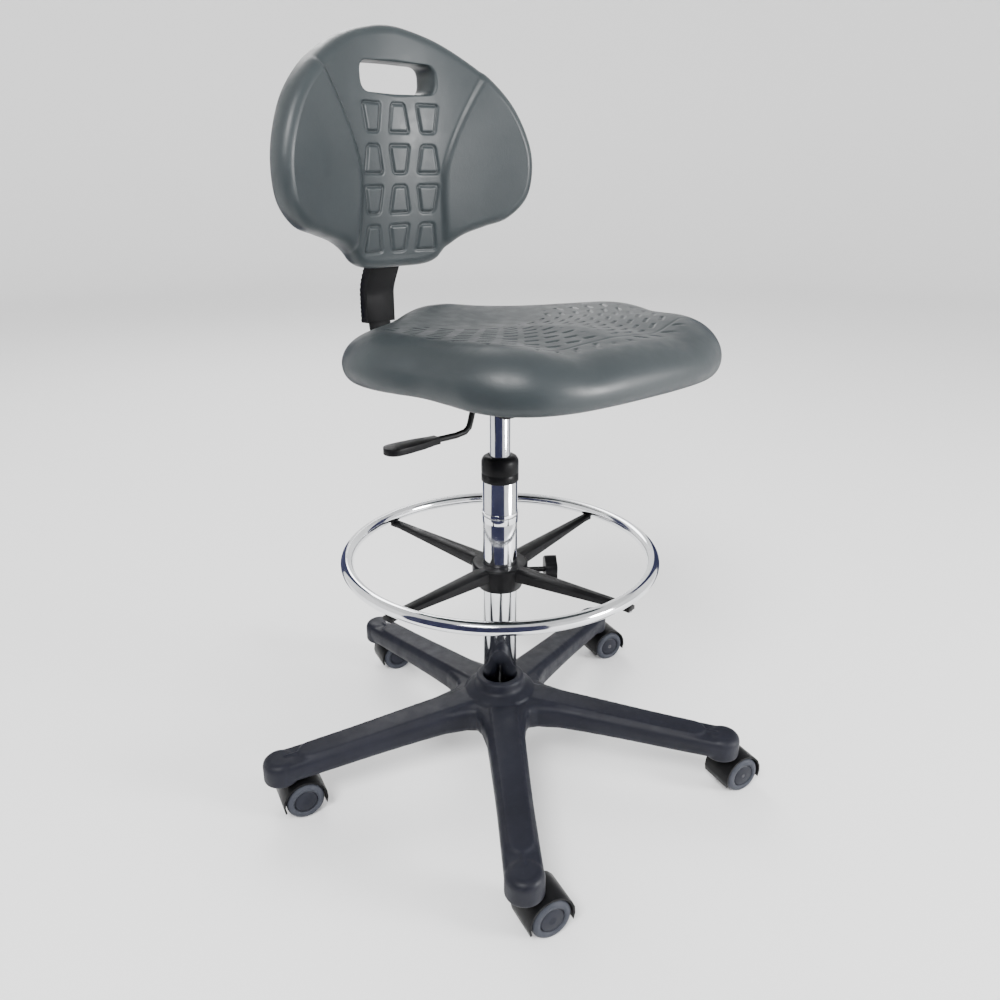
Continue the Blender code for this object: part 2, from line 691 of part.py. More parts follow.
def build_column():
    wall_in = TUBE_BORE
    tube = [
        (TUBE_RADIUS, TUBE_TOP),
        (TUBE_RADIUS, TUBE_BOTTOM),
        (ROD_RADIUS + RUN, TUBE_BOTTOM),
        (ROD_RADIUS + RUN, TUBE_BOTTOM + TUBE_FLOOR),
        (wall_in, TUBE_BOTTOM + TUBE_FLOOR),
        (wall_in, TUBE_TOP),
    ]
    add_part("pedestal_tube", turned(tube, 32, True), "chrome")
    band = ring_profile(TUBE_RADIUS + FIT, TUBE_RADIUS + FIT + BAND_PROUD, BAND_TOP - BAND_HEIGHT, BAND_TOP)
    add_part("stop_band", turned(band, 32, True), "chrome")
    lip = TUBE_RADIUS + COLLAR_LIP
    foot = TUBE_TOP + FIT
    collar = [
        (lip - COLLAR_CHAMFER, COLLAR_TOP),
        (lip - COLLAR_CHAMFER * 0.35, COLLAR_TOP - COLLAR_CHAMFER * 0.3),
        (lip, COLLAR_TOP - COLLAR_CHAMFER),
        (lip, foot),
        (wall_in - FIT, foot),
        (wall_in - FIT, TUBE_TOP - BUSH_DEPTH),
        (CYLINDER_RADIUS + RUN, TUBE_TOP - BUSH_DEPTH),
        (CYLINDER_RADIUS + RUN, COLLAR_TOP),
    ]
    add_part("guide_collar", turned(collar, 32, True), "black_plastic")
    floor = TUBE_BOTTOM + TUBE_FLOOR + FIT
    neck = ROD_RADIUS - 0.001
    add_part(
        "thrust_bearing",
        turned(ring_profile(ROD_RADIUS + RUN, BEARING_RADIUS, floor, floor + BEARING_HEIGHT, 0.0008), 28, True),
        "steel",
    )
    shoulder = floor + BEARING_HEIGHT + FIT
    clip_top = TUBE_BOTTOM - FIT
    bore_end = CYLINDER_TOP - BUTTON_HEIGHT
    rod_profile = [
        (0, bore_end - ROD_TRAVEL_GAP),
        (ROD_RADIUS - 0.001, bore_end - ROD_TRAVEL_GAP),
        (ROD_RADIUS, bore_end - ROD_TRAVEL_GAP - 0.001),
        (ROD_RADIUS, shoulder + ROD_SHOULDER),
        (BEARING_RADIUS - 0.002, shoulder + ROD_SHOULDER),
        (BEARING_RADIUS - 0.002, shoulder),
        (ROD_RADIUS, shoulder),
        (ROD_RADIUS, clip_top),
        (neck, clip_top),
        (neck, clip_top - CLIP_HEIGHT - 2 * FIT),
        (ROD_RADIUS, clip_top - CLIP_HEIGHT - 2 * FIT),
        (ROD_RADIUS, clip_top - CLIP_HEIGHT - 0.003),
        (0, clip_top - CLIP_HEIGHT - 0.003),
    ]
    add_part("piston_rod", turned(rod_profile, 20), "steel")
    clip = ring_profile(neck + FIT, CLIP_RADIUS, clip_top - CLIP_HEIGHT - FIT, clip_top - FIT)
    add_part("retaining_clip", turned(clip, 20, True), "steel")


def build_gas_spring():
    bottom = CYLINDER_TOP - CYLINDER_LENGTH
    button_foot = CYLINDER_TOP - BUTTON_HEIGHT + 2 * BUTTON_TRAVEL
    button_bore = BUTTON_RADIUS + RUN
    rod_bore = ROD_RADIUS + RUN
    floor = button_foot - BUTTON_TRAVEL - FIT
    cylinder = [
        (0, floor),
        (button_bore, floor),
        (button_bore, CYLINDER_TOP),
        (CYLINDER_RADIUS - 0.001, CYLINDER_TOP),
        (CYLINDER_RADIUS, CYLINDER_TOP - 0.001),
        (CYLINDER_RADIUS, bottom),
        (rod_bore, bottom),
        (rod_bore, CYLINDER_TOP - BUTTON_HEIGHT),
        (0, CYLINDER_TOP - BUTTON_HEIGHT),
    ]
    add_part("gas_cylinder", turned(cylinder, 28), "chrome")
    button = [
        (0, CYLINDER_TOP + BUTTON_PROUD),
        (BUTTON_RADIUS - 0.001, CYLINDER_TOP + BUTTON_PROUD),
        (BUTTON_RADIUS, CYLINDER_TOP + BUTTON_PROUD - 0.001),
        (BUTTON_RADIUS, button_foot),
        (0, button_foot),
    ]
    add_part("release_button", turned(button, 16), "steel")


# ---- foot ring ----


def build_ring():
    carrier = pivot("foot_ring_slide", (0, 0, 0), COLUMN)
    section = arc((RING_RADIUS, RING_Z), RING_TUBE, 15, 375, 10)[:-1]
    ring = add_part("footring_tube", turned(section[::-1], 60, True), "chrome", carrier)
    foot = RING_HUB_Z - RING_HUB_HEIGHT
    hub = turned(
        [
            (0, RING_HUB_Z),
            (RING_HUB_TOP - 0.002, RING_HUB_Z),
            (RING_HUB_TOP, RING_HUB_Z - 0.002),
            (RING_HUB_TOP, RING_HUB_Z - 0.016),
            (RING_HUB_FOOT, foot),
            (0, foot),
        ],
        36,
    )
    spokes = add_part("footring_spokes", hub, "black_nylon", carrier)
    tip_top = RING_Z - RING_TUBE - FIT
    pad_foot = tip_top - SPOKE_TIP_THICK
    reach = RING_RADIUS + PAD_LENGTH / 2
    for number in range(SPOKE_COUNT):
        degrees = SPOKE_TURN + 360 / SPOKE_COUNT * number
        loops = []
        for share in (0.1, 0.3, 0.6, SPOKE_PAD_START, 1.0):
            taper = min(share / SPOKE_PAD_START, 1)
            top = RING_HUB_Z - 0.001 + (tip_top - RING_HUB_Z + 0.001) * taper
            half = SPOKE_ROOT_HALF + (SPOKE_TIP_HALF - SPOKE_ROOT_HALF) * taper
            thick = SPOKE_ROOT_THICK + (SPOKE_TIP_THICK - SPOKE_ROOT_THICK) * taper
            loops.append([
                Vector((reach * share, y, z))
                for y, z in ((half, top - thick), (half, top - 0.003), (half * 0.4, top), (-half * 0.4, top),
                             (-half, top - 0.003), (-half, top - thick))
            ])
        spoke = loft(loops)
        spoke.transform(Matrix.Rotation(math.radians(degrees), 4, "Z"))
        join(spokes, spoke)
    screw_top = RING_Z - RING_TUBE * 0.2
    for number in range(SPOKE_COUNT):
        place = polar(RING_RADIUS, SPOKE_TURN + 360 / SPOKE_COUNT * number)
        bore = RING_SCREW_RADIUS + FIT
        cut(spokes, rod(bore, pad_foot - 0.01, 0.03, at=place, sides=16))
        cut(ring, rod(bore, pad_foot, screw_top + FIT - pad_foot, at=place, sides=16))
        head = pad_foot - FIT
        screw = turned(
            [
                (0, screw_top),
                (RING_SCREW_RADIUS, screw_top),
                (RING_SCREW_RADIUS, head),
                (RING_SCREW_HEAD, head),
                (RING_SCREW_HEAD, head - RING_SCREW_HEAD_HEIGHT + 0.001),
                (RING_SCREW_HEAD - 0.0015, head - RING_SCREW_HEAD_HEIGHT),
                (0, head - RING_SCREW_HEAD_HEIGHT),
            ],
            12,
        )
        add_part("ring_screw_%d" % (number + 1), screw, "steel", carrier, (*place, 0))
    cut(spokes, rod(TUBE_RADIUS + RUN, foot - 0.01, 0.1, sides=40))
    middle = RING_HUB_Z - RING_HUB_HEIGHT * 0.42
    stud_bore = rod(CLAMP_SCREW_RADIUS + RUN, 0, RING_HUB_TOP + 0.01, "x", 20)
    stud_bore.transform(Matrix.Rotation(math.radians(CLAMP_TURN), 4, "Z"))
    cut(spokes, stud_bore, (0, 0, middle))
    knob = star_knob(CLAMP_KNOB_RADIUS, CLAMP_KNOB_THICK)
    knob.transform(Matrix.Translation((CLAMP_KNOB_DISTANCE, 0, 0)) @ AXIS_TURNS["x"])
    axis = pivot("clamp_knob_axis", (0, 0, middle), carrier, math.radians(CLAMP_TURN))
    clamp = add_part("clamp_knob", knob, "black_plastic", axis)
    stud_start = TUBE_RADIUS + 2 * FIT
    join(clamp, rod(CLAMP_SCREW_RADIUS, stud_start, CLAMP_KNOB_DISTANCE - stud_start + 0.005, "x", 20))


# ---- mechanism and lever ----


def build_mechanism():
    plate_under = PLATE_TOP - PLATE_THICK
    plate = slab(rounded_rectangle(PLATE_HALF_X, PLATE_HALF_Y, PLATE_EDGE), PLATE_THICK)
    plate.transform(Matrix.Translation((0, 0, PLATE_TOP - PLATE_THICK / 2)))
    body = add_part("seat_mechanism", plate, "black_steel")
    overlap = 0.001
    join(body, box((-BOX_HALF_X, -BOX_FRONT, BOX_BOTTOM), (BOX_HALF_X, BOX_REAR, plate_under + overlap), 0.0))
    inner = box(
        (BOX_WALL - BOX_HALF_X, BOX_WALL - BOX_FRONT, BOX_BOTTOM - BOX_EDGE),
        (BOX_HALF_X - BOX_WALL, BOX_REAR - BOX_WALL, plate_under),
    )
    cut(body, inner)
    sleeve_out = CYLINDER_RADIUS + FIT + SOCKET_TUBE_WALL
    join(body, rod(sleeve_out, BOX_BOTTOM, plate_under + overlap - BOX_BOTTOM, sides=32))
    half_x = BAR_WIDTH / 2 + RUN + CHANNEL_WALL
    half_z = BAR_THICK / 2 + RUN + CHANNEL_WALL
    channel_end = BOX_REAR + CHANNEL_LENGTH
    join(body, box((-half_x, BOX_REAR - overlap, BAR_Z - half_z), (half_x, channel_end, BAR_Z + half_z)))
    join(body, box((-half_x, BOX_REAR - overlap, BAR_Z), (half_x, PLATE_HALF_Y - PLATE_EDGE, plate_under + overlap)))
    for side in (-1, 1):
        near = side * (TRUNNION_HALF - EAR_THICK)
        far = side * TRUNNION_HALF
        ear_half = TRUNNION_RADIUS + 0.002
        join(body, box(
            (-LEVER_PIVOT_X - ear_half, min(near, far), LEVER_PIVOT_Z - ear_half),
            (-LEVER_PIVOT_X + ear_half, max(near, far), plate_under + overlap),
        ))
    cut(body, rod(CYLINDER_RADIUS + FIT, BOX_BOTTOM - 0.01, plate_under - BOX_BOTTOM + 0.01, sides=40))
    cut(body, box(
        (-BAR_WIDTH / 2 - RUN, BAR_FRONT_Y - 0.002, BAR_Z - BAR_THICK / 2 - RUN),
        (BAR_WIDTH / 2 + RUN, channel_end + 0.01, BAR_Z + BAR_THICK / 2 + RUN),
    ))
    cut(body, box(
        (-sleeve_out - 0.002, -LEVER_SLOT_HALF, CYLINDER_TOP - 0.004),
        (0, LEVER_SLOT_HALF, plate_under),
    ))
    pin_bore = rod(LEVER_PIN_RADIUS + FIT, -0.03, 0.06, "y", 20, at=(-LEVER_PIVOT_X, LEVER_PIVOT_Z))
    cut(body, pin_bore)
    knob_y = BOX_REAR + DEPTH_KNOB_BACK
    cut(body, rod(KNOB_STUD_RADIUS + RUN, BAR_Z - 0.03, 0.03, sides=20, at=(0, knob_y)))
    for x in (-SEAT_SCREW_X, SEAT_SCREW_X):
        for y in (-SEAT_SCREW_Y, SEAT_SCREW_Y):
            cut(body, rod(SEAT_SCREW_RADIUS + FIT, plate_under - 0.01, 0.03, sides=16, at=(x, y)))
    pin_half = TRUNNION_HALF + 0.001
    pin = rod(LEVER_PIN_RADIUS, -pin_half, 2 * pin_half, "y", 20)
    add_part("lever_pin", pin, "steel", COLUMN, (-LEVER_PIVOT_X, 0, LEVER_PIVOT_Z))
    channel_foot = BAR_Z - half_z
    knob = star_knob(DEPTH_KNOB_RADIUS, DEPTH_KNOB_THICK)
    axis = pivot("depth_knob_axis", (0, knob_y, 0), COLUMN)
    knob.transform(Matrix.Translation((0, 0, channel_foot - KNOB_GAP - DEPTH_KNOB_THICK)))
    hand = add_part("depth_knob", knob, "black_plastic", axis)
    stud_foot = channel_foot - KNOB_GAP - 0.003
    join(hand, rod(KNOB_STUD_RADIUS, stud_foot, BAR_Z - BAR_THICK / 2 - 2 * FIT - stud_foot, sides=20))


def build_lever():
    """Bent rod on a trunnion. Its short end presses the release button, its paddle is outside."""
    axis = pivot("height_lever_axis", (-LEVER_PIVOT_X, 0, LEVER_PIVOT_Z), COLUMN)
    press = CYLINDER_TOP + PRESS_RISE - LEVER_PIVOT_Z
    run = LEVER_PIVOT_X - LEVER_REACH
    path = smooth_through(
        [
            (LEVER_PIVOT_X + 0.002, 0, press),
            (0.026, 0, press),
            (0.012, 0, press * 0.72),
            (0, 0, 0),
            (-0.008, 0, -LEVER_SINK * 0.55),
            (-0.020, 0, -LEVER_SINK * 0.97),
            (run, 0, -LEVER_SINK),
            (run - 0.012, 0, -LEVER_SINK),
        ],
        3,
    )
    loops = []
    for index, point in enumerate(path):
        along = (path[min(index + 1, len(path) - 1)] - path[max(index - 1, 0)]).normalized()
        across = Vector((0, 1, 0))
        lift = along.cross(across)
        loops.append([
            point + LEVER_RADIUS * (math.cos(turn) * across + math.sin(turn) * lift)
            for turn in [2 * math.pi * step / 12 for step in range(12)]
        ])
    lever = add_part("height_lever", loft(loops), "black_steel", axis)
    barrel = TRUNNION_HALF - EAR_THICK - RUN
    join(lever, rod(TRUNNION_RADIUS, -barrel, 2 * barrel, "y", 24))
    cut(lever, rod(LEVER_PIN_RADIUS + RUN, -0.03, 0.06, "y", 20))
    outline = []
    for x, half in ((0, 0.0075), (0.010, 0.0082), (0.030, 0.0125), (0.055, PADDLE_HALF)):
        outline.append((-x, -half))
    outline += arc((PADDLE_HALF - PADDLE_LENGTH, 0), PADDLE_HALF, 270, 90, 8)
    outline += [(x, -y) for x, y in outline[3::-1]]
    paddle = add_part("lever_paddle", slab(outline, PADDLE_THICK), "black_plastic", axis,
                      (run + 0.004, 0, -LEVER_SINK))
    edge = paddle.modifiers.new("edge", "BEVEL")
    edge.width = 0.002
    edge.segments = 2
    socket_length = 0.016 + FIT
    cut(paddle, rod(LEVER_RADIUS + FIT, -socket_length, 0.05, "x", 20), (run + 0.004, 0, -LEVER_SINK))


# ---- seat and backrest ----


def pillow(outline, front, rear, edge):
    """A closed cushion. The outline gives points on the rim, front and rear give the two faces
    at a point, and the rim between them is rounded over the given share."""
    stations = [(0.28, 0.0), (0.55, 0.0), (0.76, 0.0)]
    for step in range(7):
        angle = math.pi * step / 6
        stations.append((1 - edge * (1 - math.sin(angle)), (1 - math.cos(angle)) / 2))
    stations += [(share, 1.0) for share, _ in stations[2::-1]]
    form = bmesh.new()
    rows = []
    for share, blend in stations:
        row = []
        for rim in outline:
            spot = rim * share
            near, far = front(spot), rear(spot)
            row.append(form.verts.new(near + (far - near) * blend))
        rows.append(row)
    middle = Vector((0, 0))
    tips = (form.verts.new(front(middle)), form.verts.new(rear(middle)))
    count = len(outline)
    for index in range(count):
        follow = (index + 1) % count
        form.faces.new((tips[0], rows[0][index], rows[0][follow]))
        form.faces.new((tips[1], rows[-1][follow], rows[-1][index]))
        for inner, outer in zip(rows, rows[1:]):
            form.faces.new((inner[index], outer[index], outer[follow], inner[follow]))
    return mesh_from(form)


def seat_outline():
    """Broad front, sides that draw in ahead of the hips, and a rear that narrows to a tongue."""
    half = [Vector((x * SEAT_WIDTH / 2, y * SEAT_DEPTH + SEAT_FRONT_Y - SEAT_CENTRE_Y)) for x, y in SEAT_SHAPE]
    right = smooth_through(half, 3)
    return right + [Vector((-point.x, point.y)) for point in right[-2:0:-1]]


def seat_top(spot):
    across = spot.x / (SEAT_WIDTH / 2)
    along = spot.y / (SEAT_DEPTH / 2)
    reach = min(across**2 + along**2, 1.0)
    height = SEAT_THICK - SEAT_DISH * (1 - reach) ** 1.2
    height -= SEAT_FRONT_FALL * max(-along, 0) ** 3 * (1 - 0.5 * across**2)
    height += SEAT_REAR_LIP * max(along, 0) ** 3
    height += SEAT_RIDGE * math.exp(-((spot.x / 0.03) ** 2)) * max(-along, 0) * max(1 + along, 0) * 4
    return Vector((spot.x, spot.y + SEAT_CENTRE_Y, SEAT_BOTTOM + height))


def build_seat():
    def under(spot):
        return Vector((spot.x, spot.y + SEAT_CENTRE_Y, SEAT_BOTTOM))

    seat = add_part("seat", pillow(seat_outline(), seat_top, under, SEAT_EDGE), "grey_foam")
    number = 0
    for x in (-SEAT_SCREW_X, SEAT_SCREW_X):
        for y in (-SEAT_SCREW_Y, SEAT_SCREW_Y):
            number += 1
            bore_length = SEAT_SCREW_BITE + FIT + 0.01
            cut(seat, rod(SEAT_SCREW_RADIUS + FIT, SEAT_BOTTOM - 0.01, bore_length, sides=16, at=(x, y)))
            head = PLATE_TOP - PLATE_THICK - FIT
            screw = turned(
                [
                    (0, SEAT_BOTTOM + SEAT_SCREW_BITE),
                    (SEAT_SCREW_RADIUS, SEAT_BOTTOM + SEAT_SCREW_BITE),
                    (SEAT_SCREW_RADIUS, head),
                    (SEAT_SCREW_HEAD, head),
                    (SEAT_SCREW_HEAD, head - SEAT_SCREW_HEAD_HEIGHT),
                    (0, head - SEAT_SCREW_HEAD_HEIGHT),
                ],
                12,
            )
            add_part("seat_screw_%d" % number, screw, "steel", COLUMN, (x, y, 0))


def bar_path():
    """Middle line of the bar in the side plane, as (y, z): along, round the bend, up and forward."""
    bend = (BAR_BACK_Y - BAR_BEND_RADIUS, BAR_Z + BAR_BEND_RADIUS)
    path = [(BAR_FRONT_Y, BAR_Z)] + arc(bend, BAR_BEND_RADIUS, -90, 0, 10)
    low, high = SEAT_BOTTOM + BAR_LEAN_LOW, SEAT_BOTTOM + BAR_LEAN_HIGH
    for step in range(11):
        share = step / 10
        ease = share * share * (3 - 2 * share)
        path.append((BAR_BACK_Y + (BAR_TOP_Y - BAR_BACK_Y) * ease, low + (high - low) * share))
    path.append((BAR_TOP_Y, SEAT_BOTTOM + BAR_TOP))
    return [Vector(point) for point in path]


def offset_line(path, distances):
    moved = []
    for index, point in enumerate(path):
        along = (path[min(index + 1, len(path) - 1)] - path[max(index - 1, 0)]).normalized()
        moved.append(point + Vector((along.y, -along.x)) * distances[index])
    return moved


def strip(path, front, rear, width):
    """A strip along a path in the side plane. Front and rear are distances from the path."""
    outline = offset_line(path, rear) + offset_line(path, [-distance for distance in front])[::-1]
    return oriented(slab([tuple(point) for point in outline], width), (0, 1, 0), (0, 0, 1))


def resampled(path, low, high, count):
    """Points of the upright part of the path at even heights."""
    upright = [point for point in path if point.y > BAR_Z + BAR_BEND_RADIUS * 0.2]
    points = []
    for step in range(count + 1):
        z = low + (high - low) * step / count
        for start, end in zip(upright, upright[1:]):
            if start.y <= z <= end.y:
                share = (z - start.y) / (end.y - start.y)
                points.append(start + (end - start) * share)
                break
    return points


def build_back():
    slide = pivot("back_depth_slide", (0, 0, 0), COLUMN)
    path = bar_path()
    half = [BAR_THICK / 2] * len(path)
    add_part("back_bar", strip(path, half, half, BAR_WIDTH), "black_steel", slide, smooth=False)
    line = resampled(path, SEAT_BOTTOM + SLEEVE_LOW, SEAT_BOTTOM + SLEEVE_HIGH, 2 * SLEEVE_RIDGES)
    front = [SLEEVE_FRONT] * len(line)
    rear = [SLEEVE_REAR + SLEEVE_RIDGE * (index % 2) for index in range(len(line))]
    sleeve = add_part("ribbed_sleeve", strip(line, front, rear, 2 * SLEEVE_HALF_X), "black_plastic", slide,
                      smooth=False)
    wide = [BAR_THICK / 2 + FIT] * len(path)
    cut(sleeve, strip(path, wide, wide, BAR_WIDTH + 2 * FIT))
    lift = pivot("back_height_slide", (0, 0, 0), slide)
    face = BACK_PLANE_Y + FIT
    back = face + CARRIER_DEPTH
    low, high = SEAT_BOTTOM + CARRIER_LOW, SEAT_BOTTOM + CARRIER_HIGH
    carrier = add_part("back_carrier", box((-CARRIER_HALF_X, face, low), (CARRIER_HALF_X, back, high),
                                           CARRIER_EDGE / 2), "black_plastic", lift)
    cut(carrier, box(
        (-BAR_WIDTH / 2 - RUN, BAR_TOP_Y - BAR_THICK / 2 - RUN, low - 0.01),
        (BAR_WIDTH / 2 + RUN, BAR_TOP_Y + BAR_THICK / 2 + RUN, high + 0.01),
    ))
    knob_z = SEAT_BOTTOM + BACK_KNOB_HEIGHT
    cut(carrier, rod(KNOB_STUD_RADIUS + RUN, BAR_TOP_Y, 0.03, "y", 20, at=(0, knob_z)))
    axis = pivot("back_knob_axis", (0, 0, knob_z), lift)
    knob = star_knob(BACK_KNOB_RADIUS, BACK_KNOB_THICK)
    knob.transform(Matrix.Translation((0, back + KNOB_GAP, 0)) @ AXIS_TURNS["y"])
    hand = add_part("back_knob", knob, "black_plastic", axis)
    stud_start = BAR_TOP_Y + BAR_THICK / 2 + 2 * FIT
    join(hand, rod(KNOB_STUD_RADIUS, stud_start, back + KNOB_GAP + 0.005 - stud_start, "y", 20))
    backrest = add_part("backrest", backrest_mesh(), "grey_foam", lift)
    head_z = SEAT_BOTTOM + BACK_HEAD
    slot = slab(rounded_rectangle(SLOT_HALF_WIDTH, SLOT_HALF_HEIGHT, SLOT_CORNER), 0.2)
    cut(backrest, oriented(slot, (1, 0, 0), (0, 0, 1), (0, BACK_FRONT_Y, head_z + SLOT_V)))
    screw_z = SEAT_BOTTOM + CARRIER_SCREW_HEIGHT
    for number, x in enumerate((-CARRIER_SCREW_X, CARRIER_SCREW_X)):
        start = BACK_PLANE_Y - CARRIER_SCREW_BITE
        bore = CARRIER_SCREW_RADIUS + FIT
        cut(backrest, rod(bore, start - FIT, 0.03, "y", 16, at=(x, screw_z)))
        cut(carrier, rod(bore, face - 0.01, 0.06, "y", 16, at=(x, screw_z)))
        screw = turned(
            [
                (0, back + FIT + CARRIER_SCREW_HEAD_HEIGHT),
                (CARRIER_SCREW_HEAD, back + FIT + CARRIER_SCREW_HEAD_HEIGHT),
                (CARRIER_SCREW_HEAD, back + FIT),
                (CARRIER_SCREW_RADIUS, back + FIT),
                (CARRIER_SCREW_RADIUS, start),
                (0, start),
            ],
            12,
        )
        screw.transform(AXIS_TURNS["y"])
        add_part("back_screw_%d" % (number + 1), screw, "steel", lift, (x, 0, screw_z))


def backrest_mesh():
    head_z = SEAT_BOTTOM + BACK_HEAD
    right = smooth_through([Vector(point) for point in BACK_OUTLINE], 3)
    rim = right + [Vector((-point.x, point.y)) for point in right[-2:0:-1]]
    middle = Vector((0, BACK_CENTRE_V))
    rim = [point - middle for point in rim]

    def front(spot):
        u, v = spot.x, spot.y + BACK_CENTRE_V
        wrap = BACK_WRAP * u**2 - BACK_WRAP_EASE * u**4
        return Vector((u, BACK_FRONT_Y + BACK_RECLINE * v + BACK_BULGE * v**2 - wrap, head_z + v))

    def rear(spot):
        u, v = spot.x, spot.y + BACK_CENTRE_V
        return Vector((u, BACK_PLANE_Y - BACK_REAR_WRAP * max(abs(u) - BACK_FLAT, 0) ** 2, head_z + v))

    return pillow(rim, front, rear, BACK_EDGE)


build_casters()
build_base()
build_column()
build_gas_spring()
build_ring()
build_mechanism()
build_lever()
build_seat()
build_back()
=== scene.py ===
import json
import math

import bpy
import numpy as np
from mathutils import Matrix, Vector


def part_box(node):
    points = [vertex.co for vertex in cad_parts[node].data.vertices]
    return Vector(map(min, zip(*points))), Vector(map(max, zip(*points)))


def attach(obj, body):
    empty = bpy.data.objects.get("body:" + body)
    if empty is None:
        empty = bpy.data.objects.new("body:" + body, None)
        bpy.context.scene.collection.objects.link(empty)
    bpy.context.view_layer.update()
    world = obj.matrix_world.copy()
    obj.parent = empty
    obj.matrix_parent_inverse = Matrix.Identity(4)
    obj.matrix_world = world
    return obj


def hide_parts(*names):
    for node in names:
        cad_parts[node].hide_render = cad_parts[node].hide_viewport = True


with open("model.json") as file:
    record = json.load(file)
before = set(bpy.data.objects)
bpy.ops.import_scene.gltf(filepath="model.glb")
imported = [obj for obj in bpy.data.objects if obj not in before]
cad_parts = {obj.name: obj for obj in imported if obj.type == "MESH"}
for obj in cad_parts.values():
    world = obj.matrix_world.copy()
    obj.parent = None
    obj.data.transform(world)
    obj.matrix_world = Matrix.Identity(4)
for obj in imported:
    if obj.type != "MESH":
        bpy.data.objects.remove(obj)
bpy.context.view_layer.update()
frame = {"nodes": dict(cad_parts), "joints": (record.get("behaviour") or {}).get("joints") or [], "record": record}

# small tools


def smoothStep(value, low, high):
    t = np.clip((value - low) / (high - low), 0, 1)
    return t * t * (3 - 2 * t)


def bump(value, width):
    return np.exp(-((value / width) ** 2))


def link(name, data):
    item = bpy.data.objects.new(name, data)
    bpy.context.scene.collection.objects.link(item)
    return item


def meshFrom(name, points, faces, smooth=True):
    mesh = bpy.data.meshes.new(name)
    mesh.from_pydata(points.tolist(), [], faces)
    mesh.update()
    if smooth:
        mesh.shade_smooth()
    return link(name, mesh)


def pointsOf(mesh):
    co = np.empty(len(mesh.vertices) * 3)
    mesh.vertices.foreach_get("co", co)
    return co.reshape(-1, 3)


def applied(item):
    # The item with its modifiers made part of its mesh.
    bpy.context.view_layer.update()
    graph = bpy.context.evaluated_depsgraph_get()
    item.data = bpy.data.meshes.new_from_object(item.evaluated_get(graph))
    item.modifiers.clear()
    return item


def gridFaces(rows, columns, wrapRows=False):
    # Quads of a grid whose columns close on themselves, and its rows too if wrapRows says so.
    index = np.arange(rows * columns).reshape(rows, columns)
    right = np.roll(index, -1, axis=1)
    if wrapRows:
        up, upRight = np.roll(index, -1, axis=0), np.roll(right, -1, axis=0)
        quads = np.stack([index, right, upRight, up], -1)
    else:
        quads = np.stack([index[:-1], right[:-1], right[1:], index[1:]], -1)
    return quads.reshape(-1, 4).tolist()


def capped(name, grid):
    # A closed skin from a (rows, columns, 3) grid, with a pole at each end.
    rows, columns = grid.shape[:2]
    poles = np.stack([grid[0].mean(0), grid[-1].mean(0)])
    points = np.concatenate([grid.reshape(-1, 3), poles])
    faces = gridFaces(rows, columns)
    turn = np.roll(np.arange(columns), -1)
    last = (rows - 1) * columns
    faces += [[rows * columns, int(b), a] for a, b in enumerate(turn)]
    faces += [[rows * columns + 1, last + a, last + int(b)] for a, b in enumerate(turn)]
    return meshFrom(name, points, faces)


def faceOut(item):
    # Turns the faces outward if the signed volume says they face in.
    mesh = item.data
    mesh.calc_loop_triangles()
    tris = np.empty(len(mesh.loop_triangles) * 3, int)
    mesh.loop_triangles.foreach_get("vertices", tris)
    a, b, c = pointsOf(mesh)[tris.reshape(-1, 3)].transpose(1, 0, 2)
    if np.einsum("ij,ij->i", a, np.cross(b, c)).sum() < 0:
        mesh.flip_normals()
    return item


def spun(profile, centre, steps):
    # Point = centre + (radius * cos(turn), radius * sin(turn), height), for each profile row.
    profile = np.array(profile, float)
    angle = np.linspace(0, 2 * math.pi, steps, endpoint=False)
    grid = np.empty((len(profile), steps, 3))
    grid[..., 0] = centre[0] + profile[:, None, 0] * np.cos(angle)
    grid[..., 1] = centre[1] + profile[:, None, 0] * np.sin(angle)
    grid[..., 2] = profile[:, None, 1]
    return grid


def lathe(name, profile, centre=(0, 0), steps=96):
    # A profile of (radius, height) rows spun about Z, closed where it meets the axis.
    return faceOut(capped(name, spun(profile, centre, steps)))


def hollowLathe(name, profile, centre=(0, 0), steps=96):
    # As lathe, for a closed section that never meets the axis.
    points = spun(profile, centre, steps).reshape(-1, 3)
    return faceOut(meshFrom(name, points, gridFaces(len(profile), steps, True)))


def rounded(corners, radius, count=5):
    # A closed section with each corner rounded, as (radius, height) rows.
    corners = np.array(corners, float)
    rows = []
    for index, corner in enumerate(corners):
        before = corners[index - 1] - corner
        after = corners[(index + 1) % len(corners)] - corner
        cut = min(radius, np.linalg.norm(before) / 2.1, np.linalg.norm(after) / 2.1)
        start = corner + before / np.linalg.norm(before) * cut
        end = corner + after / np.linalg.norm(after) * cut
        for t in np.linspace(0, 1, count):
            rows.append((1 - t) ** 2 * start + 2 * t * (1 - t) * corner + t * t * end)
    return np.array(rows)


def splineLoop(points, count):
    # A closed smooth line through the points, evenly spaced.
    points = np.array(points, float)
    before, after = np.roll(points, 1, 0), np.roll(points, -1, 0)
    later = np.roll(points, -2, 0)
    t = np.linspace(0, 1, 40, endpoint=False)[:, None, None]
    curve = 0.5 * (
        2 * points
        + (after - before) * t
        + (2 * before - 5 * points + 4 * after - later) * t**2
        + (3 * points - before - 3 * after + later) * t**3
    )
    curve = curve.transpose(1, 0, 2).reshape(-1, 2)
    closed = np.vstack([curve, curve[:1]])
    length = np.concatenate([[0], np.cumsum(np.linalg.norm(np.diff(closed, axis=0), axis=1))])
    spots = np.linspace(0, length[-1], count, endpoint=False)
    return np.stack([np.interp(spots, length, closed[:, k]) for k in (0, 1)], -1)


def mirrored(half):
    # A full loop from its right half, which starts and ends on the middle line.
    half = np.array(half, float)
    return np.vstack([half, half[-2:0:-1] * [-1, 1]])


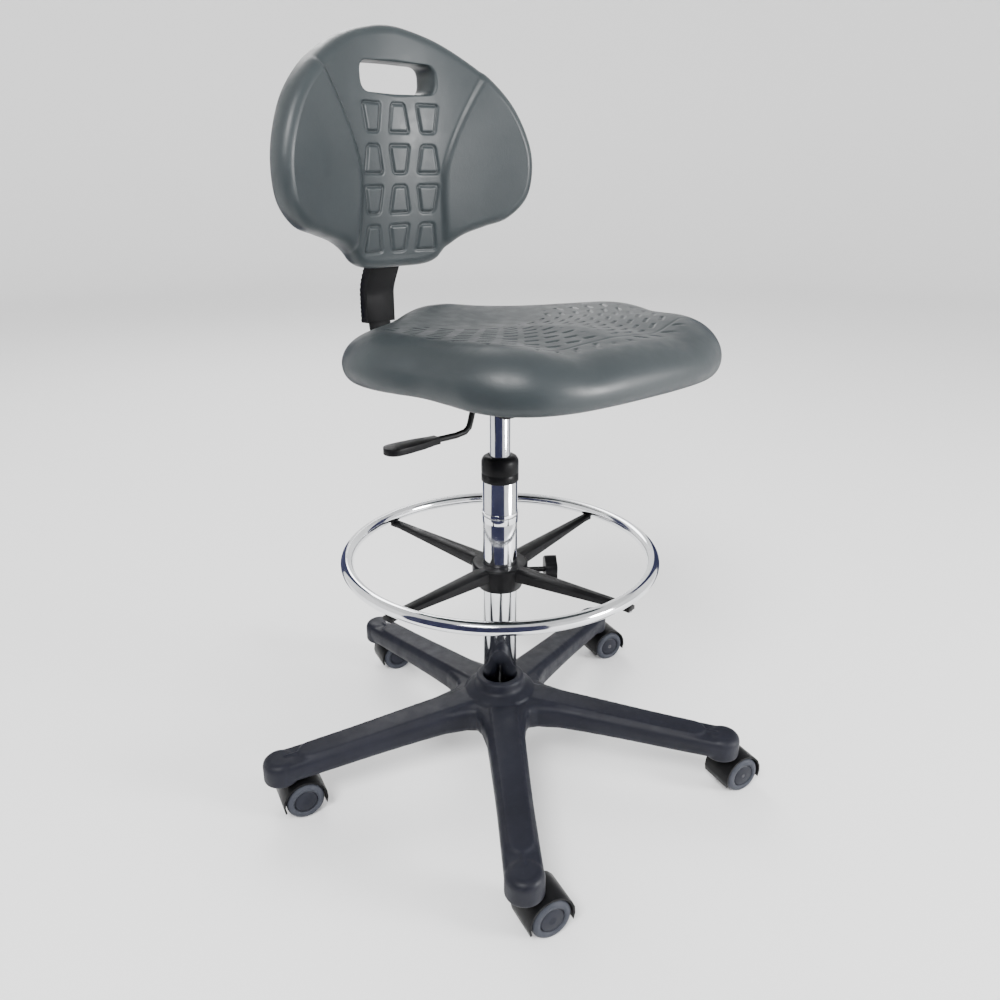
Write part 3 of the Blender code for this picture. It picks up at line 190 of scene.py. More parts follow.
def outwardOf(loop):
    # Unit vectors at right angles to a loop round the origin, pointing away from it.
    tangent = np.roll(loop, -1, 0) - np.roll(loop, 1, 0)
    normal = np.stack([tangent[:, 1], -tangent[:, 0]], -1)
    normal /= np.linalg.norm(normal, axis=1)[:, None]
    return -normal if (normal * loop).sum() < 0 else normal


# surfaces


def nodeOf(tree, kind, **inputs):
    node = tree.nodes.new(kind)
    for key, value in inputs.items():
        if key in node.inputs:
            node.inputs[key].default_value = value
        else:
            setattr(node, key, value)
    return node


def scaled(tree, value, fromLow, fromHigh, toLow, toHigh):
    gate = nodeOf(tree, "ShaderNodeMapRange")
    for key, number in zip(("From Min", "From Max", "To Min", "To Max"), (fromLow, fromHigh, toLow, toHigh)):
        gate.inputs[key].default_value = number
    tree.links.new(value, gate.inputs["Value"])
    return gate.outputs["Result"]


def tinted(tree, colour, factor, tint):
    blend = nodeOf(tree, "ShaderNodeMix", data_type="RGBA")
    tree.links.new(factor, blend.inputs["Factor"])
    tree.links.new(colour, blend.inputs[6])
    blend.inputs[7].default_value = (*tint, 1)
    return blend.outputs[2]


def surface(name, look):
    # Principled surface. Colour = two tones mixed by broad noise, then specks, then paler edges.
    # Roughness = low + spread by fine noise. Height = sum of the grain layers.
    material = bpy.data.materials.new(name)
    material.use_nodes = True
    tree = material.node_tree
    join = tree.links.new
    shader = tree.nodes["Principled BSDF"]
    place = nodeOf(tree, "ShaderNodeTexCoord")
    broad = nodeOf(tree, "ShaderNodeTexNoise", Scale=look.get("broad", 9.0), Detail=5.0, Roughness=0.6)
    join(place.outputs["Object"], broad.inputs["Vector"])
    ramp = nodeOf(tree, "ShaderNodeValToRGB")
    ramp.color_ramp.elements[0].position = 0.32
    ramp.color_ramp.elements[1].position = 0.68
    ramp.color_ramp.elements[0].color = (*look["dark"], 1)
    ramp.color_ramp.elements[1].color = (*look["light"], 1)
    join(broad.outputs["Fac"], ramp.inputs["Fac"])
    colour = ramp.outputs["Color"]
    if "speck" in look:
        specks = nodeOf(tree, "ShaderNodeTexNoise", Scale=look["speck"][0], Detail=3.0)
        join(place.outputs["Object"], specks.inputs["Vector"])
        amount = scaled(tree, specks.outputs["Fac"], 0.6, 0.75, 0.0, look["speck"][1])
        colour = tinted(tree, colour, amount, look["speck"][2])
    if "edge" in look:
        shape = nodeOf(tree, "ShaderNodeNewGeometry")
        amount = scaled(tree, shape.outputs["Pointiness"], 0.505, 0.60, 0.0, look["edge"][0])
        colour = tinted(tree, colour, amount, look["edge"][1])
    join(colour, shader.inputs["Base Color"])
    fine = nodeOf(tree, "ShaderNodeTexNoise", Scale=look.get("fine", 60.0), Detail=4.0)
    join(place.outputs["Object"], fine.inputs["Vector"])
    join(scaled(tree, fine.outputs["Fac"], 0.3, 0.7, *look["rough"]), shader.inputs["Roughness"])
    shader.inputs["Metallic"].default_value = look.get("metal", 0.0)
    shader.inputs["Specular IOR Level"].default_value = look.get("specular", 0.5)
    normal = None
    for kind, scale, strength, depth in look.get("grain", ()):
        if kind == "cells":
            grain = nodeOf(tree, "ShaderNodeTexVoronoi", Scale=scale, feature="SMOOTH_F1")
            height = grain.outputs["Distance"]
        else:
            grain = nodeOf(tree, "ShaderNodeTexNoise", Scale=scale, Detail=3.0)
            height = grain.outputs["Fac"]
        join(place.outputs["Object"], grain.inputs["Vector"])
        relief = nodeOf(tree, "ShaderNodeBump", Strength=strength, Distance=depth)
        join(height, relief.inputs["Height"])
        if normal:
            join(normal, relief.inputs["Normal"])
        normal = relief.outputs["Normal"]
    if normal:
        join(normal, shader.inputs["Normal"])
    return material


# Each look: two tones, scale of the broad noise, roughness range, then what only some have.
# grain: kind, scale, strength, depth. speck: scale, amount, colour. edge: amount, colour.
looks = {
    # self-skinning foam: grey with a cool green cast, fine leather cells over soft waves
    "foam": dict(
        dark=(0.019, 0.0245, 0.027), light=(0.025, 0.031, 0.034), broad=7.0, rough=(0.36, 0.47),
        edge=(0.35, (0.050, 0.060, 0.063)), specular=0.36,
        grain=(("cells", 900.0, 0.10, 0.0006), ("noise", 260.0, 0.10, 0.0008), ("noise", 14.0, 0.06, 0.004))),
    # filled nylon: near black with a blue cast, spark-eroded texture, slight scuffs
    "nylon": dict(
        dark=(0.0055, 0.0060, 0.0105), light=(0.0090, 0.0098, 0.0160), broad=12.0, rough=(0.42, 0.58),
        specular=0.2, speck=(220.0, 0.25, (0.016, 0.017, 0.025)), edge=(0.25, (0.020, 0.022, 0.030)),
        grain=(("noise", 700.0, 0.18, 0.0006), ("noise", 40.0, 0.05, 0.002))),
    # smooth black plastic: low sheen with fine handling marks
    "plastic": dict(
        dark=(0.0030, 0.0030, 0.0036), light=(0.0055, 0.0055, 0.0062), broad=25.0, rough=(0.32, 0.48),
        specular=0.12, grain=(("noise", 500.0, 0.08, 0.0004),)),
    # soft grey tyre, dusted in patches
    "tread": dict(
        dark=(0.028, 0.031, 0.040), light=(0.040, 0.043, 0.054), broad=45.0, rough=(0.45, 0.65),
        specular=0.15, speck=(160.0, 0.4, (0.06, 0.06, 0.068)), grain=(("noise", 350.0, 0.12, 0.0005),)),
    # wheel cap: smooth dark grey
    "disc": dict(
        dark=(0.010, 0.011, 0.016), light=(0.015, 0.016, 0.023), broad=35.0, rough=(0.35, 0.5),
        specular=0.15, grain=(("noise", 400.0, 0.08, 0.0004),)),
    # chrome plate: very slight orange peel and a few dull patches
    "chrome": dict(
        dark=(0.72, 0.73, 0.75), light=(0.84, 0.85, 0.87), broad=18.0, rough=(0.05, 0.12), metal=1.0,
        fine=30.0, grain=(("noise", 60.0, 0.03, 0.0006),)),
    # bare steel, lightly brushed
    "steel": dict(
        dark=(0.36, 0.36, 0.37), light=(0.50, 0.50, 0.51), broad=40.0, rough=(0.25, 0.45), metal=1.0,
        grain=(("noise", 500.0, 0.06, 0.0003),)),
    # powder coat: fine orange peel
    "powder": dict(
        dark=(0.0040, 0.0040, 0.0045), light=(0.0065, 0.0065, 0.0072), broad=30.0, rough=(0.38, 0.52),
        specular=0.15, grain=(("noise", 380.0, 0.14, 0.0006),)),
}
finishes = {name: surface(name + "Surface", look) for name, look in looks.items()}


def dress(item, finish, body, *nodes):
    # Gives a new piece its surface and its body, and hides the CAD nodes it stands for.
    item.data.materials.clear()
    item.data.materials.append(finishes[finish])
    if nodes:
        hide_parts(*nodes)
    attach(item, body)
    return item


nodes = frame["nodes"]
tubeLow, tubeHigh = (np.array(v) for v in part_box("pedestal_tube"))
axisX, axisY = (tubeLow[:2] + tubeHigh[:2]) / 2
print("frame loaded, column at", round(float(axisX), 4), round(float(axisY), 4))

# seat

seat = {
    "around": 480,
    "rim": mirrored([
        (0, -0.2675), (0.060, -0.2660), (0.115, -0.2590), (0.155, -0.2430), (0.184, -0.2170),
        (0.2030, -0.1830),
        (0.2110, -0.1480), (0.2190, -0.1130), (0.2320, -0.0780), (0.2405, -0.0400), (0.2385, 0.0000),
        (0.2220, 0.0350), (0.1930, 0.0680), (0.1560, 0.0960), (0.1210, 0.1190), (0.0880, 0.1430),
        (0.0560, 0.1660), (0.0280, 0.1790), (0, 0.1820),
    ]),
    "poleY": -0.055,
    "edgeTop": 0.054,
    "edgeUnder": 0.015,
    "dash": 0.020,
    "pitch": 0.0175,
    "groove": 0.0014,
}


def seatHeight(x, y):
    # Height of the upper face above the underside: hip bowl, two thigh troughs with a ridge
    # between them, a front that rolls down and a lip at the back.
    front = smoothStep(-y, 0.06, 0.20)
    height = 0.0560 - 0.0125 * np.exp(-((x / 0.135) ** 2) - ((y - 0.010) / 0.095) ** 2)
    height += 0.0065 * bump(np.abs(x) - 0.165, 0.055) * bump(y + 0.185, 0.075)
    height += 0.0050 * bump(np.abs(x) - 0.200, 0.050) * bump(y + 0.040, 0.060)
    height -= 0.0060 * bump(np.abs(x) - 0.085, 0.035) * front
    height -= 0.0065 * bump(x, 0.075) * smoothStep(-y, 0.15, 0.25)
    height += 0.0050 * bump(x, 0.024) * bump(y + 0.120, 0.075)
    height += 0.0060 * bump(x, 0.060) * smoothStep(y, 0.100, 0.160)
    height -= 0.0060 * smoothStep(-y, 0.205, 0.262) ** 2
    return height


def seatPattern(x, y):
    # Short sunk dashes in rows that sweep back round each thigh, and slanted dashes along the front.
    side = np.abs(x)
    radius = np.hypot((side - 0.020) * 0.80, y - 0.045)
    ring = np.round(radius / seat["pitch"])
    across = radius - ring * seat["pitch"]
    turn = np.arctan2(side - 0.020, 0.045 - y) * ring * seat["pitch"] / seat["dash"] * 0.72 + 0.5 * ring
    along = turn % 1.0 - 0.5
    mark = smoothStep(0.33 - np.abs(along), 0, 0.06)
    mark *= smoothStep(0.0030 - np.abs(across + 0.006 * along), 0, 0.0018)
    mark *= (ring >= 4) * smoothStep(side, 0.010, 0.017)
    mark *= smoothStep(-y, -0.030, -0.020) * smoothStep(0.192 + y - 0.6 * x**2, 0, 0.006)
    mark *= smoothStep(0.182 - side, 0, 0.01)
    row = ((side + (y + 0.215) * 0.9) / 0.030) % 1.0 - 0.5
    front = smoothStep(0.13 - np.abs(row), 0, 0.06)
    front *= smoothStep(0.011 - np.abs(y + 0.212 - 0.6 * x**2), 0, 0.003)
    front *= smoothStep(0.158 - side, 0, 0.01) * smoothStep(side, 0.008, 0.016)
    groove = bump(y + 0.197 - 0.6 * x**2, 0.0018) * smoothStep(0.170 - side, 0, 0.02) * 0.5
    return np.maximum(np.maximum(mark, front), groove)


def makeSeat():
    # Rings from the middle of the upper face outward, over a quarter round to the widest line,
    # under it by a second quarter round, and back in along the flat underside.
    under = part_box("seat")[0][2]
    middle = np.array([0, seat["poleY"]])
    rim = splineLoop(seat["rim"], seat["around"])
    inner = np.linspace(0.006, 1, 128) ** 0.92
    normal = outwardOf(rim - middle)
    topLoop = rim - normal * seat["edgeTop"]
    rows = []
    flat = middle + inner[:, None, None] * (topLoop - middle)[None]
    height = seatHeight(flat[..., 0], flat[..., 1])
    height -= seat["groove"] * seatPattern(flat[..., 0], flat[..., 1])
    rows.append(np.concatenate([flat, height[..., None]], -1))
    edgeHeight = seatHeight(topLoop[:, 0], topLoop[:, 1])
    sag = -0.0065 * smoothStep(-rim[:, 1], 0.09, 0.22)
    waist = 0.34 * edgeHeight + 0.66 * sag
    angle = np.linspace(0, math.pi / 2, 17)[1:, None]
    out = topLoop[None] + normal[None] * seat["edgeTop"] * np.sin(angle)[..., None] ** 0.95
    rise = waist + (edgeHeight - waist) * np.cos(angle) ** 1.05
    rows.append(np.concatenate([out, rise[..., None]], -1))
    angle = np.linspace(math.pi / 2, math.pi, 11)[1:, None]
    tuck = rim[None] - normal[None] * seat["edgeUnder"] * (1 - np.sin(angle))[..., None]
    fall = waist + (waist - sag) * np.cos(angle)
    rows.append(np.concatenate([tuck, fall[..., None]], -1))
    share = np.linspace(1, 0.02, 8)[1:, None, None]
    below = middle + share * (rim - normal * seat["edgeUnder"] - middle)[None]
    level = np.broadcast_to(sag * smoothStep(share[..., 0], 0.8, 1.0), below.shape[:2])
    rows.append(np.concatenate([below, level[..., None]], -1))
    grid = np.concatenate(rows)
    grid[..., :2] += [axisX, axisY]
    grid[..., 2] += under
    item = faceOut(capped("seatCushion", grid))
    dress(item, "foam", "upper", "seat")


makeSeat()
print("seat made")

# backrest

back = {
    "around": 440,
    "rim": mirrored([
        (0, 0.0285), (0.038, 0.0235), (0.076, 0.0125), (0.113, -0.0060), (0.151, -0.0325), (0.185, -0.0700),
        (0.208, -0.1180), (0.2145, -0.1600), (0.207, -0.2000), (0.180, -0.2290), (0.146, -0.2410),
        (0.112, -0.2530), (0.088, -0.2690), (0.072, -0.2860), (0.048, -0.2935), (0, -0.2945),
    ]),
    "headDrop": 0.0290,
    "edge": 0.017,
    "slotEdge": 0.005,
    "slotHalf": (0.0605, 0.019),
    "slotCorner": 0.016,
    "slotDrop": -0.039,
    "rearDepth": 0.2605,
    "rearFlat": 0.045,
    "rearWrap": 2.4,
    "panelWaist": 0.072,
    "panelStep": 0.0042,
    "columnGap": 0.0465,
    "firstRow": -0.090,
    "rowGap": 0.054,
    "padHalfHigh": 0.0185,
    "padWide": 0.0165,
    "padNarrow": 0.0105,
    "relief": 0.0022,
}


def backFace(u, v):
    # Distance of the front face behind the column: it wraps round the sitter, curves in at the
    # lumbar and steps forward from the middle panel to the wings.
    wrap = 1.84 * u**2 - 10.0 * u**4
    face = 0.222 + 0.11 * v + 0.51 * v**2 - wrap
    edge = back["panelWaist"] + 1.15 * np.maximum(v + 0.165, 0) ** 1.45 + 0.12 * np.maximum(-0.2 - v, 0)
    step = smoothStep(np.abs(u), edge - 0.004, edge + 0.006)
    fade = smoothStep(v, 0.020, -0.02) * smoothStep(v, -0.285, -0.24)
    face -= back["panelStep"] * step * fade * bump(np.maximum(np.abs(u) - edge, 0), 0.065)
    face -= 0.0016 * bump(np.abs(u) - edge, 0.0030) * fade
    return face


def backPattern(u, v):
    # Rounded trapezoids in columns and rows, turned over in turn like a chequerboard. Each is a
    # sunk outline round a low pad.
    column = np.clip(np.round(u / back["columnGap"]), -1, 1)
    row = np.clip(np.round((back["firstRow"] - v) / back["rowGap"]), 0, 3)
    x = u - column * back["columnGap"]
    y = v - (back["firstRow"] - row * back["rowGap"])
    flip = np.where((column + row) % 2 == 0, -1.0, 1.0)
    half = (back["padWide"] + back["padNarrow"]) / 2 + flip * y / back["padHalfHigh"] * (
        back["padWide"] - back["padNarrow"]) / 2
    qx, qy = np.abs(x) - half + 0.004, np.abs(y) - back["padHalfHigh"] + 0.004
    distance = np.hypot(np.maximum(qx, 0), np.maximum(qy, 0)) + np.minimum(np.maximum(qx, qy), 0) - 0.004
    return bump(distance, 0.0017) - 0.35 * smoothStep(-distance, 0.001, 0.004)


def makeBack():
    # Rings from the hand slot's edge outward over the front, round the rim, back in over the rear
    # face and through the slot's wall to where they began.
    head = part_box("backrest")[1][2] - back["headDrop"]
    slotV = back["slotDrop"]
    wide, high = back["slotHalf"]
    corners = rounded([(wide, high), (-wide, high), (-wide, -high), (wide, -high)], back["slotCorner"], 14)
    share = np.linspace(0, 1, 24, endpoint=False)[:, None, None]
    slotLoop = (corners * (1 - share) + np.roll(corners, -1, 0) * share).transpose(1, 0, 2).reshape(-1, 2)
    rim = splineLoop(back["rim"], back["around"])
    rim = rim - [0, slotV]
    angles = np.arctan2(rim[:, 1], rim[:, 0])
    slotAngles = np.arctan2(slotLoop[:, 1], slotLoop[:, 0])
    order = np.argsort(slotAngles)
    slotReach = np.linalg.norm(slotLoop, axis=1)[order]
    slotRadius = np.interp(angles, slotAngles[order], slotReach, period=2 * math.pi)
    inner = np.stack([np.cos(angles), np.sin(angles)], -1) * slotRadius[:, None]
    normal = outwardOf(rim)
    radial = inner / np.linalg.norm(inner, axis=1)[:, None]

    def rearFace(u):
        return back["rearDepth"] - back["rearWrap"] * np.maximum(np.abs(u) - back["rearFlat"], 0) ** 2

    outerFlat = rim - normal * back["edge"]
    innerFlat = inner + radial * back["slotEdge"]
    share = np.linspace(0, 1, 150)[:, None, None]
    front = innerFlat[None] * (1 - share) + outerFlat[None] * share
    frontY = backFace(front[..., 0], front[..., 1] + slotV)
    frontY += back["relief"] * backPattern(front[..., 0], front[..., 1] + slotV)
    rows = [np.concatenate([front, frontY[..., None]], -1)]
    angle = np.linspace(0, math.pi, 21)[1:-1, None]
    out = outerFlat[None] + normal[None] * back["edge"] * np.sin(angle)[..., None] ** 0.85
    near = backFace(outerFlat[:, 0], outerFlat[:, 1] + slotV)
    far = rearFace(outerFlat[:, 0])
    depth = (near + far) / 2 - (far - near) / 2 * np.sign(np.cos(angle)) * np.abs(np.cos(angle)) ** 0.8
    rows.append(np.concatenate([out, depth[..., None]], -1))
    share = np.linspace(1, 0, 22)[:, None, None]
    rear = innerFlat[None] * (1 - share) + outerFlat[None] * share
    rows.append(np.concatenate([rear, rearFace(rear[..., 0])[..., None]], -1))
    angle = np.linspace(math.pi, 0, 11)[1:-1, None]
    wall = innerFlat[None] - radial[None] * back["slotEdge"] * np.sin(angle)[..., None] ** 0.6
    near = backFace(innerFlat[:, 0], innerFlat[:, 1] + slotV)
    far = rearFace(innerFlat[:, 0])
    depth = (near + far) / 2 - (far - near) / 2 * np.cos(angle)
    rows.append(np.concatenate([wall, depth[..., None]], -1))
    grid = np.concatenate(rows)
    points = np.stack([grid[..., 0] + axisX, grid[..., 2] + axisY, grid[..., 1] + slotV + head], -1)
    item = meshFrom("backrestShell", points.reshape(-1, 3), gridFaces(len(grid), back["around"], True))
    faceOut(item)
    dress(item, "foam", "back", "backrest")


makeBack()
print("backrest made")

# base

base = {
    "arms": 5,
    "firstAngle": 90,
    "reach": 0.340,
    "armStop": 0.008,
    "rootHalf": 0.0320,
    "tipHalf": 0.0248,
    "socketRadius": 0.0252,
    "socketHeight": 0.038,
    "rootDrop": 0.020,
    "depth": 0.037,
    "flare": 0.021,
    "bore": 0.0253,
    "panelHalf": 0.0160,
    "panelStep": 0.0026,
    "voxel": 0.0018,
    "shares": (0.09, 0.14, 0.2, 0.3, 0.4, 0.5, 0.6, 0.7, 0.8, 0.88, 0.905, 0.925, 0.938, 0.948, 0.96, 1.0),
}


def armSection(half, bottom, top, panel, step):
    # Right half of an arm's section from the top's middle down to the underside.
    rows = [
        (0, top), (panel * 0.55, top - 0.0001), (panel, top - 0.0004), (panel + 0.0012, top - step),
        (half * 0.84, top - step - 0.0022), (half * 0.97, top - step - 0.0065), (half, top - step - 0.013),
        (half * 0.98, bottom + 0.009), (half * 0.90, bottom + 0.0025), (half * 0.72, bottom), (0, bottom),
    ]
    return mirrored(rows)


def armPoints(angle, low, high):
    # An arm's cross-section at each share of its reach: the top falls in an S from hub to socket,
    # the width flares into the hub, and the raised panel closes in a half round before the socket.
    rootTop = high - base["rootDrop"]
    tipTop = low + base["socketHeight"] - 0.0007
    loops = []
    for share in base["shares"]:
        ease = share * share * (3 - 2 * share) * 0.35 + share * 0.65
        top = rootTop + (tipTop - rootTop) * ease
        half = base["rootHalf"] + (base["tipHalf"] - base["rootHalf"]) * min(share * 1.5, 1) ** 0.8
        half += base["flare"] * math.exp(-((share - 0.09) / 0.095) ** 2)
        thick = base["depth"] - 0.003 * share**2 + 0.014 * (1 - share) ** 3
        ending = math.sqrt(max(0.0, 1 - (max(share - 0.89, 0) / 0.055) ** 2))
        panel = max((base["panelHalf"] + 0.004 * (1 - share)) * ending, 0.001)
        section = armSection(half, top - thick, top, panel, base["panelStep"])
        x = np.full(len(section), (base["reach"] - base["armStop"]) * share)
        loops.append(np.column_stack([x, section]))
    grid = np.stack(loops)
    c, s = math.cos(angle), math.sin(angle)
    turned = grid.copy()
    turned[..., 0] = grid[..., 0] * c - grid[..., 1] * s + axisX
    turned[..., 1] = grid[..., 0] * s + grid[..., 1] * c + axisY
    return turned


def joined(name, items):
    # Joins several closed meshes into one object's mesh.
    points, faces, start = [], [], 0
    for item in items:
        mesh = item.data
        points.append(pointsOf(mesh))
        faces += [[start + v for v in face.vertices] for face in mesh.polygons]
        start += len(mesh.vertices)
        bpy.data.objects.remove(item)
    return meshFrom(name, np.concatenate(points), faces, False)


def makeBase():
    # Hub ring, five sockets and five arms, run together by a voxel skin and then smoothed.
    low, high = (float(v[2]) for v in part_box("base_star"))
    parts = []
    bore = base["bore"]
    hub = [
        (bore, high), (0.034, high), (0.0365, high - 0.002), (0.0375, high - 0.010), (0.0395, high - 0.0155),
        (0.0455, high - 0.019), (0.0525, high - 0.0235), (0.0555, high - 0.040), (0.052, low + 0.018),
        (0.037, low + 0.008), (bore, low + 0.008),
    ]
    parts.append(hollowLathe("hub", hub, (axisX, axisY)))
    top = low + base["socketHeight"] - base["panelStep"]
    radius = base["socketRadius"]
    socket = [
        (0, top), (radius - 0.009, top - 0.0002), (radius - 0.005, top - 0.0015),
        (radius - 0.0015, top - 0.005),
        (radius, top - 0.010), (radius, low + 0.0025), (radius - 0.0015, low), (0.0060, low),
        (0.0060, top - 0.0022), (0, top - 0.0022),
    ]
    for number in range(base["arms"]):
        angle = math.radians(base["firstAngle"] + 360 / base["arms"] * number)
        spot = (axisX + base["reach"] * math.cos(angle), axisY + base["reach"] * math.sin(angle))
        parts.append(lathe("socket", socket, spot, 64))
        parts.append(faceOut(capped("arm", armPoints(angle, low, high))))
    item = joined("starBase", parts)
    remesh = item.modifiers.new("skin", "REMESH")
    remesh.mode = "VOXEL"
    remesh.voxel_size = base["voxel"]
    remesh.use_smooth_shade = True
    soft = item.modifiers.new("soften", "SMOOTH")
    soft.factor = 0.5
    soft.iterations = 3
    dress(applied(item), "nylon", "base", "base_star")


makeBase()
print("base made")

# column and ring


def makeColumn():
    centre = (axisX, axisY)
    low, high = (float(v[2]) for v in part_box("pedestal_tube"))
    tube = [(0.025, low), (0.025, high - 0.0004), (0.0246, high), (0.0234, high), (0.0234, low + 0.003),
            (0.0054, low + 0.003), (0.0054, low)]
    dress(hollowLathe("pedestalTube", tube, centre), "chrome", "base", "pedestal_tube")
    low, high = (float(v[2]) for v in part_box("stop_band"))
    band = rounded([(0.0253, high), (0.0264, high), (0.0264, low), (0.0253, low)], 0.0005, 3)
    dress(hollowLathe("stopBand", band, centre), "chrome", "base", "stop_band")
    low, high = (float(v[2]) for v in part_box("guide_collar"))
    lip = high - 0.037
    collar = [(0.0149, high), (0.0185, high), (0.0205, high - 0.0008), (0.0238, high - 0.0028),
              (0.0258, high - 0.0060), (0.0266, high - 0.0095), (0.0266, high - 0.0240),
              (0.0262, high - 0.0245), (0.0262, high - 0.0262), (0.0266, high - 0.0267),
              (0.0266, lip + 0.0008), (0.0260, lip), (0.0231, lip), (0.0231, low), (0.0149, low)]
    dress(hollowLathe("guideCollar", collar, centre), "plastic", "base", "guide_collar")
    low, high = (float(v[2]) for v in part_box("gas_cylinder"))
    bore = high - 0.020
    cylinder = [(0, bore + 0.0047), (0.0049, bore + 0.0047), (0.0049, high), (0.0137, high),
                (0.0145, high - 0.0008), (0.0145, low + 0.0006), (0.0139, low), (0.0054, low),
                (0.0054, bore), (0, bore)]
    dress(lathe("gasCylinder", cylinder, centre), "chrome", "upper", "gas_cylinder")


def makeRing():
    low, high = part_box("footring_tube")
    half = (high[2] - low[2]) / 2
    radius = (high[0] - low[0]) / 2 - half
    turn = np.linspace(0, 2 * math.pi, 32, endpoint=False)
    section = np.column_stack([radius + half * np.cos(turn), (high[2] + low[2]) / 2 + half * np.sin(turn)])
    item = hollowLathe("footRing", section, (axisX, axisY), 220)
    dress(item, "chrome", "foot_ring", "footring_tube")


makeColumn()
makeRing()
print("column and ring made")

# casters

caster = {"half": 0.00975, "radius": 0.0275, "edge": 0.0055}


def turnedTo(item, centre, axis):
    # Turns a piece made about Z so that its Z runs along axis through centre.
    mesh = item.data
    w = np.array(axis, float)
    u = np.array([0, 0, 1.0])
    v = np.cross(w, u)
    co = pointsOf(mesh) @ np.stack([u, v, w]) + centre
    mesh.vertices.foreach_set("co", co.ravel())
    mesh.update()
    return faceOut(item)


def makeWheels():
    # Each wheel is a soft tread round a capped disc, on the axis of its own joint.
    half, radius, edge = caster["half"], caster["radius"], caster["edge"]
    tread = [(radius - edge - 0.0045, half - 0.0004), (radius - edge * 0.95, half - 0.0002),
             (radius - edge * 0.45, half - 0.0014), (radius - edge * 0.12, half - 0.0036),
             (radius, half - 0.0065), (radius, -half + 0.0045), (radius - 0.0015, -half + 0.0012),
             (radius - edge, -half), (radius - edge - 0.0045, -half)]
    rim = radius - edge - 0.0049
    disc = [(0, half - 0.0004), (0.006, half - 0.0005), (rim - 0.0030, half - 0.0009),
            (rim - 0.0012, half - 0.0014), (rim, half - 0.0026), (rim, -half), (0.0044, -half),
            (0.0044, half - 0.0034), (0, half - 0.0034)]
    for joint in frame["joints"]:
        if not joint["name"].endswith("_roll"):
            continue
        body = joint["child"]
        node = body.replace("_left", "_wheel_left").replace("_right", "_wheel_right")
        low, high = (np.array(v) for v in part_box(node))
        centre = (low + high) / 2
        axis = np.array(joint["axis"], float)
        if body.endswith("right"):
            axis = -axis
        outer = turnedTo(hollowLathe(body + "Tread", tread, steps=96), centre, axis)
        dress(outer, "tread", body, node)
        inner = turnedTo(lathe(body + "Disc", disc, steps=64), centre, axis)
        dress(inner, "disc", body)


makeWheels()
print("casters made")

# the CAD's own shapes, with softened edges

bodyOf = {node: body for body, group in frame["record"]["behaviour"]["bodies"].items() for node in group}


def polish(node, finish, width, angle=30):
    # A copy of a node with its edges rounded over.
    mesh = nodes[node].data.copy()
    item = link(node + "Shown", mesh)
    weld = item.modifiers.new("weld", "WELD")
    weld.merge_threshold = 0.00002
    edge = item.modifiers.new("edge", "BEVEL")
    edge.width = width
    edge.segments = 3
    edge.limit_method = "ANGLE"
    edge.angle_limit = math.radians(angle)
    mesh.shade_smooth()
    applied(item).data.set_sharp_from_angle(angle=math.radians(50))
    return dress(item, finish, bodyOf[node], node)


polish("footring_spokes", "plastic", 0.0012)
polish("ribbed_sleeve", "plastic", 0.0005)
polish("back_bar", "powder", 0.0008)
polish("back_carrier", "plastic", 0.0012)
polish("seat_mechanism", "powder", 0.0008)
polish("height_lever", "powder", 0.0003, 60)
polish("lever_paddle", "plastic", 0.0008)
for knob in ("clamp_knob", "depth_knob", "back_knob"):
    polish(knob, "plastic", 0.0012, 45)
for number in range(1, 6):
    polish("caster_%d_hood" % number, "plastic", 0.0009)
for node, item in nodes.items():
    kind = "nylon" if node == "base_star" else "steel"
    for place in item.material_slots:
        place.material = finishes[kind]
print("small parts finished")

# room, light and camera


def plain(name, colour, roughness):
    material = bpy.data.materials.new(name)
    material.use_nodes = True
    shader = material.node_tree.nodes["Principled BSDF"]
    shader.inputs["Base Color"].default_value = (*colour, 1)
    shader.inputs["Roughness"].default_value = roughness
    return material


studio = {
    "floorRadius": 6.0,
    "curveRadius": 1.5,
    "wallHeight": 6.0,
    "cardDistance": 0.65,
    "cardHeight": 0.90,
}


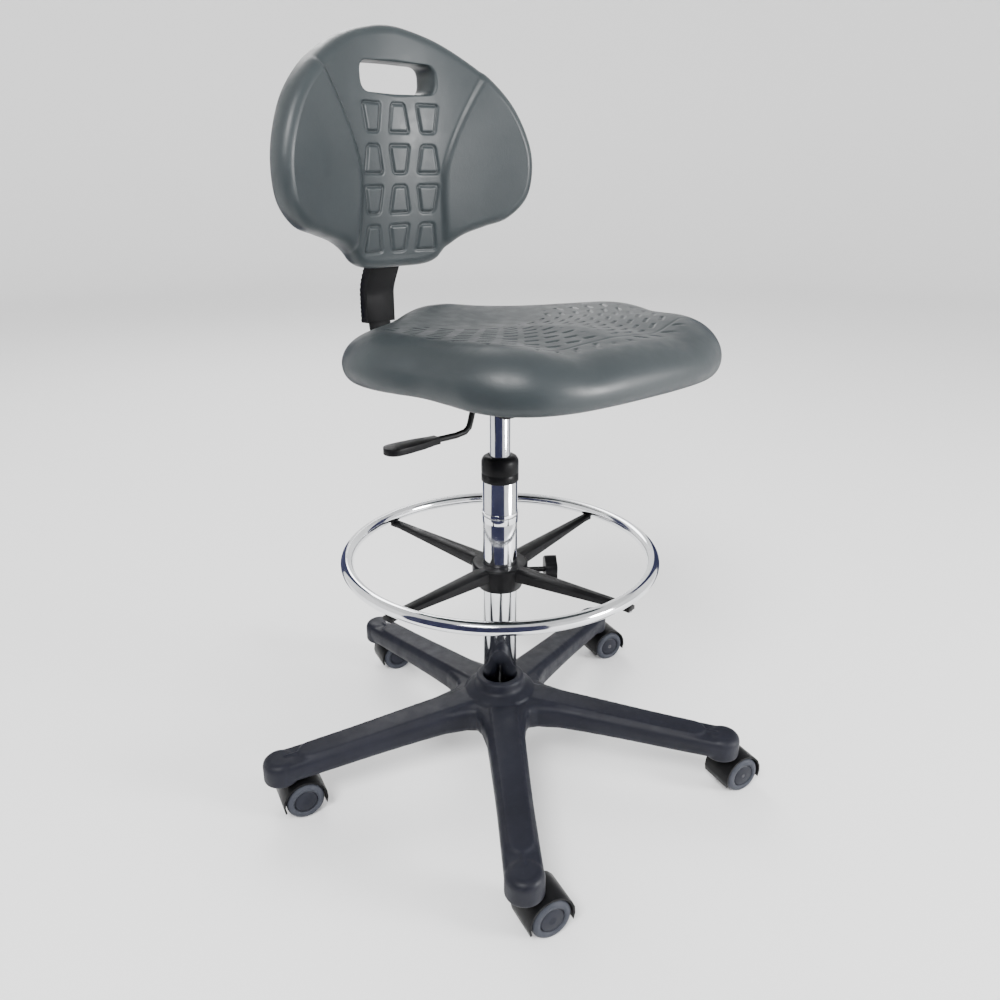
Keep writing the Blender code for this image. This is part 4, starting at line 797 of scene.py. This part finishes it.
def makeRoom():
    # A flat round floor that curves up into a wall all round.
    floor, bend = studio["floorRadius"], studio["curveRadius"]
    curve = [(floor + bend * math.sin(t), bend - bend * math.cos(t)) for t in np.linspace(0, math.pi / 2, 24)]
    profile = [(0.001, 0.0), (2.0, 0.0), (4.0, 0.0)] + curve + [(floor + bend, studio["wallHeight"])]
    points = spun(profile, (0, 0), 128).reshape(-1, 3)
    room = meshFrom("studioSweep", points, gridFaces(len(profile), 128))
    room.data.materials.append(plain("studioWhite", (0.93, 0.93, 0.93), 0.7))
    # Dark cards, seen only in reflections: a wide one before the chair, a narrow one each side behind.
    for turnTo, width in ((-146, 0.60), (0, 0.14), (101, 0.14)):
        angle = math.radians(turnTo)
        c, s = math.cos(angle), math.sin(angle)
        far, tall = studio["cardDistance"], studio["cardHeight"]
        corners = [(axisX + far * c - side * width * s, axisY + far * s + side * width * c, z)
                   for side, z in ((-1, 0.0), (1, 0.0), (1, tall), (-1, tall))]
        card = meshFrom("darkCard", np.array(corners), [[0, 1, 2, 3]], False)
        card.data.materials.append(plain("cardBlue", (0.0015, 0.003, 0.036), 0.7))
        card.visible_camera = False
        card.visible_diffuse = False
        card.visible_shadow = False


def addLight(name, spot, aim, size, power):
    light = bpy.data.lights.new(name, "AREA")
    light.shape = "DISK"
    light.size = size
    light.energy = power
    item = link(name, light)
    item.location = spot
    item.rotation_euler = (Vector(aim) - Vector(spot)).to_track_quat("-Z", "Y").to_euler()


def makeLight():
    world = bpy.data.worlds.new("studioAir")
    world.use_nodes = True
    world.node_tree.nodes["Background"].inputs["Color"].default_value = (1, 1, 1, 1)
    world.node_tree.nodes["Background"].inputs["Strength"].default_value = 0.95
    bpy.context.scene.world = world
    addLight("key", (-2.6, -1.6, 3.4), (0, 0, 0.5), 1.6, 230)
    addLight("fill", (1.9, -3.7, 1.25), (0, -0.1, 0.5), 1.3, 240)
    addLight("rear", (1.2, 2.8, 2.8), (0, 0, 0.6), 1.8, 60)


def makeCamera():
    # Looks level across to the column's axis from the front right, pitched down.
    azimuth, pitch, distance = math.radians(-41), math.radians(20.4), 1.1247
    camera = link("camera", bpy.data.cameras.new("camera"))
    camera.data.sensor_width = 36.0
    camera.data.lens = 30.42
    camera.data.shift_y = -0.015
    camera.data.clip_end = 50
    camera.location = (axisX + distance * math.sin(azimuth), axisY - distance * math.cos(azimuth), 0.880)
    camera.rotation_euler = (math.pi / 2 - pitch, 0, azimuth)
    bpy.context.scene.camera = camera


makeRoom()
makeLight()
makeCamera()
print("scene ready")
